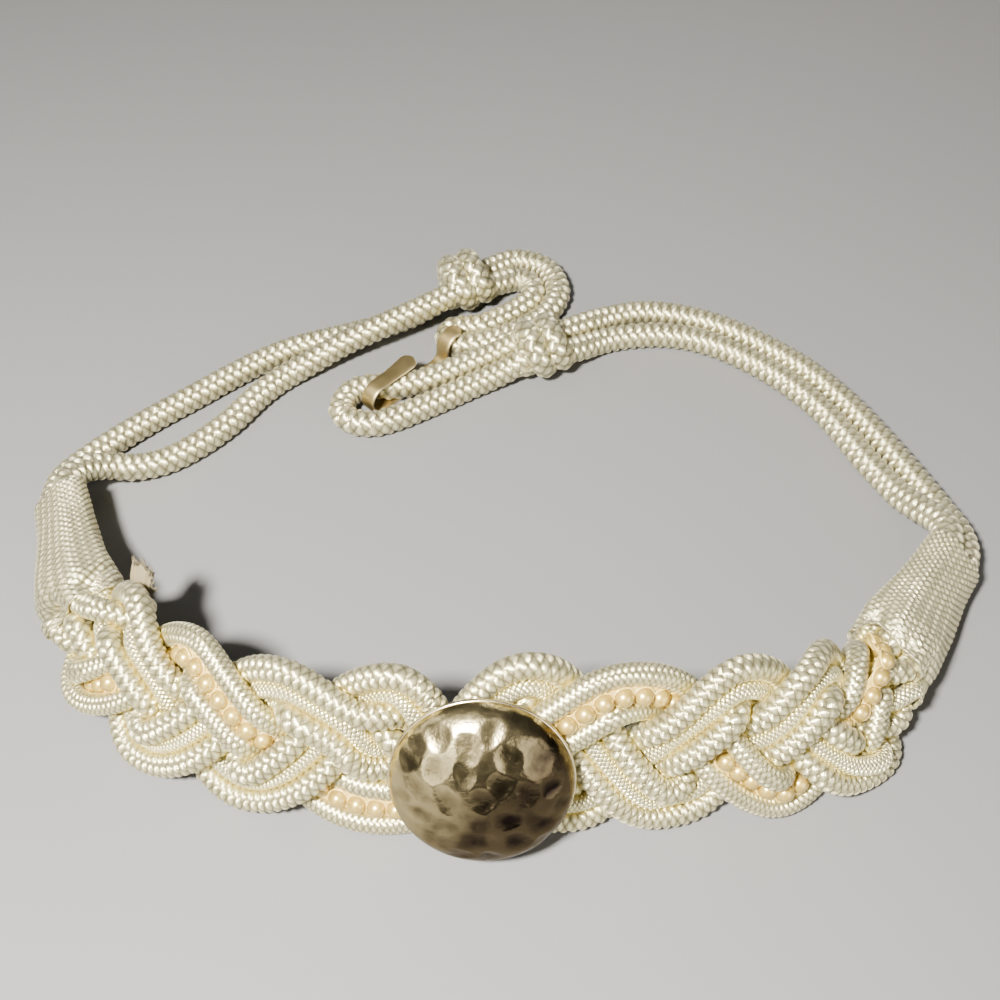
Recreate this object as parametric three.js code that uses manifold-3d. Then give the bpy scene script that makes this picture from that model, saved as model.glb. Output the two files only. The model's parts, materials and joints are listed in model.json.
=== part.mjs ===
// Braided satin belt with a hammered dome in front and cord ties behind, in millimetres.
// The belt stands on its edge as a closed loop: +X runs to the wearer's left as seen in front,
// -Y is the front with the dome, +Z is up, and the floor is at Z = 0.
import * as THREE from "three";
import { mergeVertices } from "three/addons/utils/BufferGeometryUtils.js";
import Module from "manifold-3d";

const wasm = await Module();
wasm.setup();

// Where the middle of the braid's front lies, seen from the origin under the middle of the loop.
const FRONT_X = 0;
const FRONT_Y = -49;

// The band that the braid fills, from the left sleeve's tip to the right one's.
// station: distance along the band from the dome, heading: way of the band's line on the floor,
// lean: how far the band's top tips inwards, gather: share of the full braid width.
const BAND = [
  { station: -200, heading: -72, lean: 42, gather: 0.3 },
  { station: -165, heading: -71, lean: 42, gather: 0.32 },
  { station: -150, heading: -64, lean: 40, gather: 0.42 },
  { station: -134, heading: -56, lean: 39, gather: 0.6 },
  { station: -120, heading: -50, lean: 37, gather: 0.85 },
  { station: -105, heading: -40, lean: 34, gather: 0.97 },
  { station: -85, heading: -27, lean: 30, gather: 1 },
  { station: -65, heading: -15, lean: 26, gather: 1 },
  { station: -30, heading: -6, lean: 22, gather: 1 },
  { station: 0, heading: 0, lean: 20, gather: 1 },
  { station: 30, heading: 5, lean: 22, gather: 1 },
  { station: 70, heading: 8, lean: 26, gather: 1 },
  { station: 86, heading: 22, lean: 30, gather: 0.95 },
  { station: 98, heading: 42, lean: 35, gather: 0.72 },
  { station: 112, heading: 54, lean: 40, gather: 0.56 },
  { station: 124, heading: 56, lean: 42, gather: 0.5 },
  { station: 140, heading: 54, lean: 44, gather: 0.36 },
  { station: 200, heading: 52, lean: 44, gather: 0.3 },
];
const BAND_END = 200;
const BAND_STEP = 0.5;
const BAND_HALF = 23.3; // from the band's middle to its edge where the braid is full
const BAND_RISE = 4; // share of the thickness that lifts a leaning band

// The plait: three strands of three cords each, mirrored about the dome.
const SWING = 14; // a strand's middle swings this far to each side of the band's middle
const WEAVE = 4.2; // and this far in front of and behind it
const BRAID_LEFT = -145;
const BRAID_RIGHT = 132;
const SAMPLE = 2.4;
const TOP = 1;
const LOW = -1;

// Where each strand turns. Each row: the station, the side of the band that it reaches there, and the
// half waves that it makes out of the band before its next turn, below zero where it dips in first.
const TURNS = {
  first: [[-182, TOP, 2], [-148, LOW, 2], [-121, TOP, 2], [-68, LOW, 2], [-32, TOP, 0], [-12, 0.15, 0],
    [5, 1.7, -2], [44, LOW, -2], [91, TOP, -2], [128, LOW, -2], [165, TOP, -2]],
  second: [[-172, LOW, 2], [-139, TOP, 2], [-98, LOW, 2], [-61, TOP, 3], [22, LOW, -2], [66, 1.1, -2],
    [98, LOW, -2], [138, TOP, -2], [184, LOW, -2]],
  pearl: [[-166, TOP, 2], [-130, LOW, 2], [-88, TOP, 2], [-36, -1.3, 1], [34, 1.4, -2], [78, LOW, -2],
    [119, TOP, -2], [166, LOW, -2]],
};

const THICK_R = 3.3;
const THIN_R = 2.3;
const FINE_R = 2.9;
const PEARL_R = 2.45;
const PEARL_PITCH = 5.5;
const PEARL_NECK = 0.9;
const CORD_GAP = 0.35; // kept between the cords while they settle
const PRESS_GAP = 0.3; // left where one cord is pressed flat by another
const TRIM = 0.2; // taken off each radius, so that the faceted tubes stay apart
const CORD_SIDES = 6;
const CORD_STEP = 7;
const PEARL_SIDES = 10;
const BEAD_RINGS = [PEARL_NECK / PEARL_R, 0.93, 0.93]; // each ring's share of a pearl's radius

// How the cords settle against each other.
const SETTLE_ROUNDS = 520;
const SETTLE_LATE = 0.6; // after this share of the rounds they are only pushed apart
const SETTLE_REACH = 16; // points further apart than this at the start never meet
const SETTLE_PRESS = 0.015;
const SETTLE_HOME = 0.012;

// The cords of each strand, from its upper side to its lower side on a strand that rises to the right.
const STRANDS = [
  { strand: "first", cords: [["first_strand_upper_cord", THICK_R, 1], ["first_strand_ribbed_cord", THIN_R, 0],
    ["first_strand_lower_cord", THICK_R, -1]] },
  { strand: "second", cords: [["second_strand_upper_cord", THICK_R, 1], ["second_strand_ribbed_cord", THIN_R, 0],
    ["second_strand_lower_cord", THICK_R, -1]] },
  { strand: "pearl", cords: [["pearl_strand_upper_cord", FINE_R, 1], ["pearl_string", PEARL_R, 0],
    ["pearl_strand_lower_cord", FINE_R, -1]] },
];

const satin = new THREE.MeshStandardMaterial({ color: 0xe4dfc8, roughness: 0.42, metalness: 0 });
const ribbed = new THREE.MeshStandardMaterial({ color: 0xeae5d0, roughness: 0.4, metalness: 0 });
const woven = new THREE.MeshStandardMaterial({ color: 0xdcd8c0, roughness: 0.5, metalness: 0 });
const pearl = new THREE.MeshStandardMaterial({ color: 0xe8c79c, roughness: 0.22, metalness: 0 });
const gilt = new THREE.MeshStandardMaterial({ color: 0xcbb98f, roughness: 0.2, metalness: 1 });
const brass = new THREE.MeshStandardMaterial({ color: 0xbfa36e, roughness: 0.35, metalness: 1 });
const tapeCloth = new THREE.MeshStandardMaterial({ color: 0xdcc9a6, roughness: 0.7, metalness: 0 });

// The sleeves that gather the strands, from mouth to tip. Each section gives the station and the
// inner half height and half thickness there. The slant shifts the mouth's upper side along the band.
const SLEEVE_WALL = 1.3;
const SLEEVE_SIDES = 16;
const SLEEVES = [
  { name: "left_sleeve", slant: 3, sections: [
    { station: -137, half: 15, thick: 11.5 },
    { station: -147, half: 14, thick: 10.5 },
    { station: -161, half: 12, thick: 8 },
    { station: -176, half: 10.6, thick: 5.8 },
    { station: -188, half: 9.9, thick: 5.4 },
  ] },
  { name: "right_sleeve", slant: -3, sections: [
    { station: 120, half: 13.6, thick: 11.8 },
    { station: 131, half: 13.2, thick: 10.6 },
    { station: 146, half: 12, thick: 8 },
    { station: 160, half: 10.6, thick: 5.8 },
    { station: 171, half: 9.9, thick: 5.4 },
  ] },
];

const SLEEVE_MARGIN = 0.7;
const MOUTH_LIP = 4; // the cords are as narrow as the mouth from this far in front of it
const MOUTH_REACH = 16; // and begin to gather from this far
const MOUTH_FLARE = 0.9;

// The round ties behind. Each leaves its sleeve's tip beside the other, then follows its own points
// to its knot.
const TIE_R = 4.4;
const TIE_SIDES = 8;
const TIE_STEP = 12;
const LOOP_STEP = 7.5;
const TIE_ASIDE = 4.65; // from the middle of the sleeve's tip to each tie's middle
const LEFT_EXIT = [-177, -183, -188];
const RIGHT_EXIT = [160, 166, 171];
const LEFT_KNOT = [-13.3, 156.7, 11.8];
const RIGHT_KNOT = [14.6, 121.2, 11.8];
const LEFT_OUTER = [[-143.5, 54, 9.1], [-143, 62.5, 7.8], [-138, 72, 6.2], [-130.5, 82, 4.9], [-120, 92.5, 4.5],
  [-107, 103.5, 4.5], [-96, 113, 4.5], [-85, 121.5, 4.5], [-74, 128, 4.5], [-62, 132.6, 4.5], [-50, 137, 4.5],
  [-37, 142.6, 4.7], [-25, 149.5, 6.4], [-15, 157.5, 9]];
const LEFT_INNER = [[-137.5, 55, 16.2], [-135, 61.5, 13.6], [-129.5, 66.5, 9.6], [-121.5, 69, 6.2],
  [-112.5, 73, 4.6], [-103, 80, 4.5], [-93, 91, 4.5], [-84.5, 104, 4.5], [-77, 112.5, 4.6], [-68, 118.8, 6],
  [-56, 125.8, 9], [-42, 132.8, 11.3], [-26, 141.5, 13.2], [-10.5, 152, 14]];
const RIGHT_OUTER = [[145, 31, 8.8], [145.4, 40, 7.2], [142.8, 50, 5.6], [139.6, 60, 4.6], [134.5, 72, 4.5],
  [127, 88, 4.5], [119.5, 102, 4.5], [108.5, 117, 4.5], [95, 129.5, 4.5], [81.5, 139, 4.5], [67, 145, 4.5],
  [53, 147, 4.5], [40, 143.5, 5], [30, 137, 7.5], [21, 131, 8.8], [12, 125, 9.6]];
const RIGHT_INNER = [[138.6, 34, 15.4], [137.4, 41.5, 12.8], [133.8, 49, 9.4], [130.3, 57, 6.1],
  [127, 65, 4.7], [122.5, 74, 4.5], [117, 86.5, 4.5], [111, 98, 4.5], [101, 111, 4.5], [88.5, 122.5, 4.5],
  [76, 130.5, 4.5], [63, 134.5, 4.5], [50, 134.5, 4.5], [38, 131.5, 4.9], [29, 125, 7.5], [22, 120, 10],
  [16, 115.5, 12.6]];
const LEFT_LOOP = [[-15, 162, 9], [-6, 168.5, 6.5], [6, 176.6, 4.6], [17, 172.5, 4.5], [22, 159, 4.5],
  [17.4, 146.4, 4.5], [8.8, 138.2, 4.5], [-0.6, 133, 4.5], [-8, 130.2, 4.5], [-13.5, 129.4, 4.5], [-17.6, 130.6, 4.5],
  [-19.3, 134.1, 4.5], [-17.6, 137.6, 4.5], [-13.5, 138.9, 4.5], [-7, 139.8, 4.5], [-0.6, 143.4, 4.5],
  [7, 149.2, 4.5], [12.6, 156.5, 4.5], [11, 163.4, 4.6], [6, 165.4, 4.8], [0.5, 161.6, 6.8], [-6, 156, 9]];
const RIGHT_LOOP = [[10, 127.6, 10], [5, 126.3, 7.8], [-2, 122.8, 6.6], [-9.3, 119.2, 6.3], [-20.5, 113, 6.2],
  [-29.5, 108.7, 6], [-38, 107, 5.9], [-45.2, 107.1, 5.9], [-51.1, 104.8, 5.8], [-54.3, 100.3, 5.3],
  [-54.6, 95.4, 4.9], [-50.8, 91.5, 4.6], [-43.6, 90.4, 4.5], [-35.5, 93.4, 4.5], [-28, 97.6, 4.5],
  [-20.3, 102.2, 4.5], [-9.4, 109, 4.6], [2, 114.6, 6.2], [9, 117.5, 9]];

// The knots: turns of the tie wound round the two cords that run through.
const KNOT_TURNS = [
  { along: -4.6, tilt: 22, ring: 6.2 },
  { along: 0.5, tilt: -26, ring: 7 },
  { along: 4.8, tilt: 16, ring: 6 },
];
const KNOT_CORE = 7.8;
const KNOT_LONG = 13;
const KNOT_SIDES = 8;
const KNOT_CORD_SIDES = 6;
const KNOT_GAP = 0.4;
const LEFT_KNOT_HEADING = 30;
const RIGHT_KNOT_HEADING = 28;
const MERGE = 1e-3;

// The flat hook: a strip bent to an S, one bend in each tie's loop.
const HOOK_AT = [-46.2, 98.1];
const HOOK_TURN = 47;
const HOOK_WIDE = 5.7;
const HOOK_STRIP = 1.2;
const HOOK_BEND = 4.75; // inner radius of the open bend
const HOOK_LIP = 17; // from the open bend's middle to its tip
const HOOK_LIP_RISE = 0.9;
const HOOK_CURL_AT = 43.5; // from the open bend's outside to the middle of the closed curl
const HOOK_CURL = 6.2;
const HOOK_CURL_HIGH = 5;
const HOOK_CURL_PAST = 25; // the curl ends this many degrees past its top
const HOOK_CORNER = 3.5;
const HOOK_ARC_STEPS = 10;
const HOOK_LIFT = 0.1;

// Moves the whole belt, so that the origin lies under the middle of the stiff pieces.
const GROUP_AT = [0.9, 11.2, 0];

// The hammered dome on the middle of the braid.
const DOME_STATION = -4.6;
const DOME_UP = 0.1;
const DOME_OUT = 7.4;
const DOME_TIP = 6; // degrees that it tips back beyond the band's own lean
const DOME_HALF_WIDE = 24;
const DOME_HALF_TALL = 24;
const DOME_HIGH = 12.5;
const DOME_WALL = 1.2;
const DOME_LIP = 1.1;
const DOME_SEGMENTS = 26;
const DOME_RINGS = [0.25, 0.5, 0.72, 0.89, 1];
const DENT = 0.3;

// The tape's cut end that stands out behind the left end of the braid.
const TAPE_AT = [-102.7, 1.9, 27];
const TAPE_WIDE = 8;
const TAPE_TALL = 9;
const TAPE_THICK = 1;
const TAPE_TURN = -40;

const toRad = THREE.MathUtils.degToRad;
const vec = (x, y, z) => new THREE.Vector3(x, y, z);

// One column of the band's rows at a station, between the rows on each side of it.
function bandValue(station, column) {
  let k = 0;
  while (k < BAND.length - 2 && station > BAND[k + 1].station) k += 1;
  const share = (station - BAND[k].station) / (BAND[k + 1].station - BAND[k].station);
  return BAND[k][column] + (BAND[k + 1][column] - BAND[k][column]) * share;
}

// The band's line on the floor, walked from the dome to both ends.
function walkBand() {
  const steps = BAND_END / BAND_STEP;
  const line = [];
  line[steps] = [FRONT_X, FRONT_Y];
  for (const way of [-1, 1]) {
    let [x, y] = line[steps];
    for (let k = 1; k <= steps; k += 1) {
      const heading = toRad(bandValue(way * (k - 0.5) * BAND_STEP, "heading"));
      x += way * BAND_STEP * Math.cos(heading);
      y += way * BAND_STEP * Math.sin(heading);
      line[steps + way * k] = [x, y];
    }
  }
  return line;
}

const bandLine = walkBand();

// The band's middle at a station, with its directions along, up and out.
function bandFrame(station) {
  const at = THREE.MathUtils.clamp((station + BAND_END) / BAND_STEP, 0, bandLine.length - 1.001);
  const k = Math.floor(at);
  const x = THREE.MathUtils.lerp(bandLine[k][0], bandLine[k + 1][0], at - k);
  const y = THREE.MathUtils.lerp(bandLine[k][1], bandLine[k + 1][1], at - k);
  const heading = toRad(bandValue(station, "heading"));
  const lean = toRad(bandValue(station, "lean"));
  const half = BAND_HALF * (0.45 + 0.55 * bandValue(station, "gather"));
  const side = vec(Math.sin(heading), -Math.cos(heading), 0);
  return {
    middle: vec(x, y, half * Math.cos(lean) + BAND_RISE * Math.sin(lean)),
    along: vec(Math.cos(heading), Math.sin(heading), 0),
    up: side.clone().multiplyScalar(-Math.sin(lean)).setZ(Math.cos(lean)),
    out: side.clone().multiplyScalar(Math.cos(lean)).setZ(Math.sin(lean)),
  };
}

// The point at a station, so far up the band and so far out of it.
function place(station, rise, depth) {
  const { middle, up, out } = bandFrame(station);
  return middle.clone().addScaledVector(up, rise).addScaledVector(out, depth);
}

// How far up and out a strand's middle runs at a station.
function strandAt(name, station) {
  const rows = TURNS[name];
  const k = rows.findIndex((row, n) => n === rows.length - 2 || station < rows[n + 1][0]);
  const [from, fromSide, waves] = rows[k];
  const [to, toSide] = rows[k + 1];
  const share = (station - from) / (to - from);
  const side = fromSide + ((toSide - fromSide) * (1 - Math.cos(Math.PI * share))) / 2;
  return {
    rise: SWING * bandValue(station, "gather") * side,
    depth: WEAVE * Math.sin(Math.PI * waves * share),
  };
}

// A cord's points before it settles: beside its strand's middle line.
function startOfCord(name, radius, side, spread) {
  const points = [];
  for (let station = BRAID_LEFT; station <= BRAID_RIGHT; station += SAMPLE) {
    const here = strandAt(name, station);
    const slope = (strandAt(name, station + 1).rise - strandAt(name, station - 1).rise) / 2;
    const length = Math.hypot(1, slope);
    const aside = (side * spread) / length;
    const at = station - aside * slope;
    points.push({ station: at, spot: place(at, here.rise + aside, here.depth), radius });
  }
  return points;
}

function startOfBraid() {
  const cords = [];
  for (const { strand, cords: members } of STRANDS) {
    const spread = members[0][1] + members[1][1] + CORD_GAP;
    for (const [name, radius, side] of members) {
      cords.push({ name, radius, points: startOfCord(strand, radius, side, spread) });
    }
  }
  return cords;
}

// The room for cords at a station: half the height and half the thickness of the sleeve there, wider
// by degrees in front of its mouth, and null beyond that.
function sleeveRoom(station) {
  for (const { sections } of SLEEVES) {
    const way = Math.sign(sections[0].station);
    const inside = way * (station - sections[0].station);
    if (inside < -MOUTH_REACH) continue;
    const k = sections.findIndex((row, n) => n === sections.length - 2
      || inside < way * (sections[n + 1].station - sections[0].station));
    const [from, to] = [sections[k], sections[k + 1]];
    const share = THREE.MathUtils.clamp((station - from.station) / (to.station - from.station), 0, 1);
    const flare = MOUTH_FLARE * Math.max(0, -inside - MOUTH_LIP);
    return {
      half: THREE.MathUtils.lerp(from.half, to.half, share) + flare,
      thick: THREE.MathUtils.lerp(from.thick, to.thick, share) + flare,
    };
  }
  return null;
}

// Keeps a point of a cord inside its sleeve, where it is in one or just in front of it.
function keepInSleeve(point) {
  if (!sleeveRoom(point.station)) return;
  const slid = point.spot.clone().sub(point.frame.middle).dot(point.frame.along);
  const room = sleeveRoom(point.station + slid);
  if (!room) return;
  const { middle, up, out } = bandFrame(point.station + slid);
  const from = point.spot.clone().sub(middle);
  const rise = from.dot(up);
  const depth = from.dot(out);
  const margin = point.radius + SLEEVE_MARGIN;
  const over = Math.hypot(rise / (room.half - margin), depth / (room.thick - margin));
  if (over <= 1) return;
  point.spot.addScaledVector(up, rise / over - rise).addScaledVector(out, depth / over - depth);
}

// Smooths a cord's middle points by a share, without shortening its waves much.
function smoothCord(points, share) {
  const old = points.map((point) => point.spot.clone());
  const last = points.length - 1;
  for (let k = 1; k < last; k += 1) {
    const mean = vec(0, 0, 0);
    const weights = k > 1 && k < last - 1 ? [-1, 4, 10, 4, -1] : [0, 4, 8, 4, 0];
    weights.forEach((weight, n) => {
      if (weight) mean.addScaledVector(old[k + n - 2], weight / 16);
    });
    points[k].spot.lerp(mean, share);
  }
}

// Lets the cords settle side by side: each pair that is too close is pushed apart, the plait is
// pressed flat and each cord is smoothed, until they lie against each other.
function settle(cords) {
  const all = cords.flatMap((cord, owner) => cord.points.map((point) => Object.assign(point, { owner })));
  for (const point of all) {
    point.frame = bandFrame(point.station);
    point.home = point.spot.clone();
  }
  const pairs = [];
  for (let i = 0; i < all.length; i += 1) {
    for (let j = i + 1; j < all.length; j += 1) {
      const near = all[i].spot.distanceTo(all[j].spot) < SETTLE_REACH;
      if (near && all[i].owner !== all[j].owner) pairs.push([all[i], all[j]]);
    }
  }
  const apart = vec(0, 0, 0);
  for (let round = 0; round < SETTLE_ROUNDS; round += 1) {
    const late = round > SETTLE_ROUNDS * SETTLE_LATE;
    for (const point of all) {
      point.move = vec(0, 0, 0);
      point.hits = 0;
    }
    for (const [a, b] of pairs) {
      apart.subVectors(b.spot, a.spot);
      const distance = apart.length();
      const short = a.radius + b.radius + CORD_GAP - distance;
      if (short <= 0) continue;
      apart.multiplyScalar(((late ? 0.9 : 0.5) * short) / 2 / distance);
      a.move.sub(apart);
      b.move.add(apart);
      a.hits += 1;
      b.hits += 1;
    }
    for (const point of all) {
      point.spot.addScaledVector(point.move, 1.6 / Math.max(1, point.hits));
      if (late) continue;
      const depth = point.spot.clone().sub(point.frame.middle).dot(point.frame.out);
      point.spot.addScaledVector(point.frame.out, -SETTLE_PRESS * depth);
      point.spot.lerp(point.home, SETTLE_HOME);
    }
    for (const cord of cords) smoothCord(cord.points, late ? 0.12 : 0.6);
    for (const point of all) {
      keepInSleeve(point);
      point.spot.z = Math.max(point.spot.z, point.radius);
    }
  }
}

const group = new THREE.Group();

function add(name, geometry, material) {
  const mesh = new THREE.Mesh(geometry, material);
  mesh.name = name;
  group.add(mesh);
}

// A round tube of flat faces along a smooth line through the points.
function tube(points, radius, sides, step) {
  const line = new THREE.CatmullRomCurve3(points, false, "centripetal");
  line.arcLengthDivisions = 20 * points.length;
  const corners = [];
  for (let k = 0; k < sides; k += 1) {
    const angle = (2 * Math.PI * k) / sides;
    corners.push(new THREE.Vector2(radius * Math.cos(angle), radius * Math.sin(angle)));
  }
  const steps = Math.round(line.getLength() / step);
  return new THREE.ExtrudeGeometry(new THREE.Shape(corners), { steps, extrudePath: line, bevelEnabled: false });
}

// A closed skin over rings of points: each ring joins the next, and the ends are capped or, where the
// rings come back to the first one, left to meet.
function skin(rings, closed) {
  const positions = rings.flat().flatMap((p) => [p.x, p.y, p.z]);
  const count = rings[0].length;
  const index = [];
  const bands = closed ? rings.length : rings.length - 1;
  for (let r = 0; r < bands; r += 1) {
    const here = r * count;
    const next = ((r + 1) % rings.length) * count;
    for (let k = 0; k < count; k += 1) {
      const after = (k + 1) % count;
      index.push(here + k, here + after, next + k, here + after, next + after, next + k);
    }
  }
  if (!closed) {
    const last = (rings.length - 1) * count;
    for (let k = 1; k < count - 1; k += 1) {
      index.push(0, k + 1, k, last, last + k, last + k + 1);
    }
  }
  const geometry = new THREE.BufferGeometry();
  geometry.setAttribute("position", new THREE.BufferAttribute(new Float32Array(positions), 3));
  geometry.setIndex(index);
  return facingOut(geometry);
}

// Turns the faces round where the surface encloses a negative volume.
function facingOut(geometry) {
  const at = geometry.getAttribute("position");
  const index = geometry.index.array;
  const [a, b, c] = [vec(0, 0, 0), vec(0, 0, 0), vec(0, 0, 0)];
  let volume = 0;
  for (let k = 0; k < index.length; k += 3) {
    a.fromBufferAttribute(at, index[k]);
    b.fromBufferAttribute(at, index[k + 1]);
    c.fromBufferAttribute(at, index[k + 2]);
    volume += a.dot(b.cross(c));
  }
  if (volume > 0) return geometry;
  const turned = [];
  for (let k = 0; k < index.length; k += 3) turned.push(index[k], index[k + 2], index[k + 1]);
  geometry.setIndex(turned);
  return geometry;
}

// The string of pearls along its settled points: a bead to each pitch, with narrow necks between.
function beadString(points, largestRadius) {
  const line = new THREE.CatmullRomCurve3(points, false, "centripetal");
  line.arcLengthDivisions = 20 * points.length;
  const beads = Math.floor(line.getLength() / PEARL_PITCH);
  const steps = beads * BEAD_RINGS.length;
  const frames = line.computeFrenetFrames(steps, false);
  const rings = [];
  for (let k = 0; k <= steps; k += 1) {
    const centre = line.getPointAt(k / steps);
    const radius = largestRadius * BEAD_RINGS[k % BEAD_RINGS.length];
    const ring = [];
    for (let n = 0; n < PEARL_SIDES; n += 1) {
      const angle = (2 * Math.PI * n) / PEARL_SIDES;
      ring.push(centre.clone().addScaledVector(frames.normals[k], radius * Math.cos(angle))
        .addScaledVector(frames.binormals[k], radius * Math.sin(angle)));
    }
    rings.push(ring);
  }
  return skin(rings, false);
}

// A ring of a sleeve, drawn round the band's middle at its station. The slant moves the upper side
// along the band, and the lower side the other way.
function sleeveRing(station, half, thick, slant) {
  const ring = [];
  for (let k = 0; k < SLEEVE_SIDES; k += 1) {
    const angle = (2 * Math.PI * k) / SLEEVE_SIDES;
    ring.push(place(station + slant * Math.sin(angle), half * Math.sin(angle), thick * Math.cos(angle)));
  }
  return ring;
}

// A sleeve: an open tube of even wall.
function sleeve({ sections, slant }) {
  const slants = sections.map((row, k) => slant * Math.max(0, 1 - k / 2));
  const inner = sections.map((row, k) => sleeveRing(row.station, row.half, row.thick, slants[k]));
  const outer = sections.map((row, k) =>
    sleeveRing(row.station, row.half + SLEEVE_WALL, row.thick + SLEEVE_WALL, slants[k]));
  return skin([...outer, ...inner.reverse()], true);
}

// A mesh of three.js as a solid that can be joined and cut.
function solidOf(geometry) {
  const bare = new THREE.BufferGeometry();
  bare.setAttribute("position", geometry.getAttribute("position"));
  bare.setIndex(geometry.index);
  const merged = mergeVertices(bare, MERGE);
  return new wasm.Manifold(new wasm.Mesh({
    numProp: 3,
    vertProperties: merged.getAttribute("position").array,
    triVerts: new Uint32Array(merged.index.array),
  }));
}

// The largest of a solid's bodies, without the slivers that a cut leaves.
function largest(solid) {
  return solid.decompose().sort((a, b) => b.volume() - a.volume())[0];
}

function geometryOf(solid) {
  const mesh = solid.getMesh();
  const geometry = new THREE.BufferGeometry();
  geometry.setAttribute("position", new THREE.BufferAttribute(mesh.vertProperties, 3));
  geometry.setIndex(new THREE.BufferAttribute(mesh.triVerts, 1));
  return geometry;
}

// A knot: turns of cord wound round a core along its line, made larger all round by grow.
function knotSolid(at, heading, grow) {
  const core = new THREE.CylinderGeometry(KNOT_CORE + grow, KNOT_CORE + grow, KNOT_LONG + 2 * grow, KNOT_SIDES);
  core.rotateZ(Math.PI / 2);
  let solid = solidOf(core);
  for (const turn of KNOT_TURNS) {
    const ring = new THREE.TorusGeometry(turn.ring, TIE_R + grow, KNOT_CORD_SIDES, KNOT_SIDES);
    ring.rotateY(Math.PI / 2);
    ring.rotateZ(toRad(turn.tilt));
    ring.translate(turn.along, 0, 0);
    solid = solid.add(solidOf(ring));
  }
  return solid.rotate([0, 0, heading]).translate(at);
}

// A tie's points: out of the sleeve at the stations of its exit, on its own side, then along its table.
function tieRoute(exit, side, table) {
  return [...exit.map((station) => place(station, side * TIE_ASIDE, 0)), ...table.map((p) => vec(...p))];
}

// A tie or loop, cut back where the knots stand, down to its longest piece.
function cutTie(route, step, knots) {
  let solid = solidOf(tube(route, TIE_R, TIE_SIDES, step));
  for (const knot of knots) solid = solid.subtract(knot);
  return geometryOf(largest(solid));
}

// The middle line of the hook's strip, seen from its side: distance along it and height.
function hookLine() {
  const reach = HOOK_BEND + HOOK_STRIP / 2;
  const bend = HOOK_BEND + HOOK_STRIP;
  const line = [[bend + HOOK_LIP, bend + reach + HOOK_LIP_RISE], [bend + HOOK_LIP * 0.6, bend + reach + 0.25],
    [bend + HOOK_LIP * 0.3, bend + reach]];
  for (let k = 0; k <= HOOK_ARC_STEPS; k += 1) {
    const angle = Math.PI / 2 + (Math.PI * k) / HOOK_ARC_STEPS;
    line.push([bend + reach * Math.cos(angle), bend + reach * Math.sin(angle)]);
  }
  const arm = HOOK_CURL_AT - HOOK_CURL;
  for (let k = 0; k <= HOOK_ARC_STEPS / 2; k += 1) {
    const angle = (Math.PI * k) / HOOK_ARC_STEPS;
    line.push([arm - HOOK_CORNER + HOOK_CORNER * Math.sin(angle),
      HOOK_STRIP / 2 + HOOK_CORNER - HOOK_CORNER * Math.cos(angle)]);
  }
  for (let k = 1; k <= HOOK_ARC_STEPS; k += 1) {
    const angle = Math.PI - ((Math.PI / 2 + toRad(HOOK_CURL_PAST)) * k) / HOOK_ARC_STEPS;
    line.push([HOOK_CURL_AT + HOOK_CURL * Math.cos(angle), HOOK_CURL_HIGH + HOOK_CURL * Math.sin(angle)]);
  }
  return line;
}

function hook() {
  const line = hookLine().map(([p, z]) => new THREE.Vector2(p, z));
  const edge = (side) => line.map((at, k) => {
    const before = line[Math.max(0, k - 1)];
    const after = line[Math.min(line.length - 1, k + 1)];
    const way = after.clone().sub(before).normalize();
    return new THREE.Vector2(at.x - side * way.y * HOOK_STRIP / 2, at.y + side * way.x * HOOK_STRIP / 2);
  });
  const shape = new THREE.Shape([...edge(1), ...edge(-1).reverse()]);
  const geometry = new THREE.ExtrudeGeometry(shape, { depth: HOOK_WIDE, bevelEnabled: false });
  geometry.translate(0, 0, -HOOK_WIDE / 2);
  geometry.rotateX(Math.PI / 2);
  geometry.rotateZ(toRad(HOOK_TURN));
  geometry.translate(HOOK_AT[0], HOOK_AT[1], HOOK_LIFT);
  return geometry;
}

// The middle of the dome's back, with its own directions.
function domeFrame() {
  const frame = bandFrame(DOME_STATION);
  const tip = toRad(DOME_TIP);
  return {
    middle: place(DOME_STATION, DOME_UP, DOME_OUT),
    along: frame.along,
    up: frame.up.clone().multiplyScalar(Math.cos(tip)).addScaledVector(frame.out, -Math.sin(tip)),
    out: frame.out.clone().multiplyScalar(Math.cos(tip)).addScaledVector(frame.up, Math.sin(tip)),
  };
}

// A point of the dome, from its share of the way out and its angle round. The sink draws it inwards.
function domePoint(share, angle, sink) {
  const frame = domeFrame();
  const high = Math.sqrt(Math.max(0, 1 - share * share));
  const wide = (DOME_HALF_WIDE - sink) * share * Math.cos(angle);
  const tall = (DOME_HALF_TALL - sink) * share * Math.sin(angle);
  const dent = DENT * Math.sin(7 * share + 2 * angle) * Math.cos(5 * angle - 4 * share) * (share < 1 ? 1 : 0);
  const out = DOME_LIP + (DOME_HIGH - DOME_LIP - sink + dent) * high;
  return frame.middle.clone().addScaledVector(frame.along, wide)
    .addScaledVector(frame.up, tall).addScaledVector(frame.out, out);
}

// One side of the dome: a middle point, then a ring of points for each row.
function domeSide(sink) {
  const rings = DOME_RINGS.map((share) => {
    const ring = [];
    for (let k = 0; k < DOME_SEGMENTS; k += 1) {
      ring.push(domePoint(share, (2 * Math.PI * k) / DOME_SEGMENTS, sink));
    }
    return ring;
  });
  return { top: domePoint(0, 0, sink), rings };
}

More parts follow.
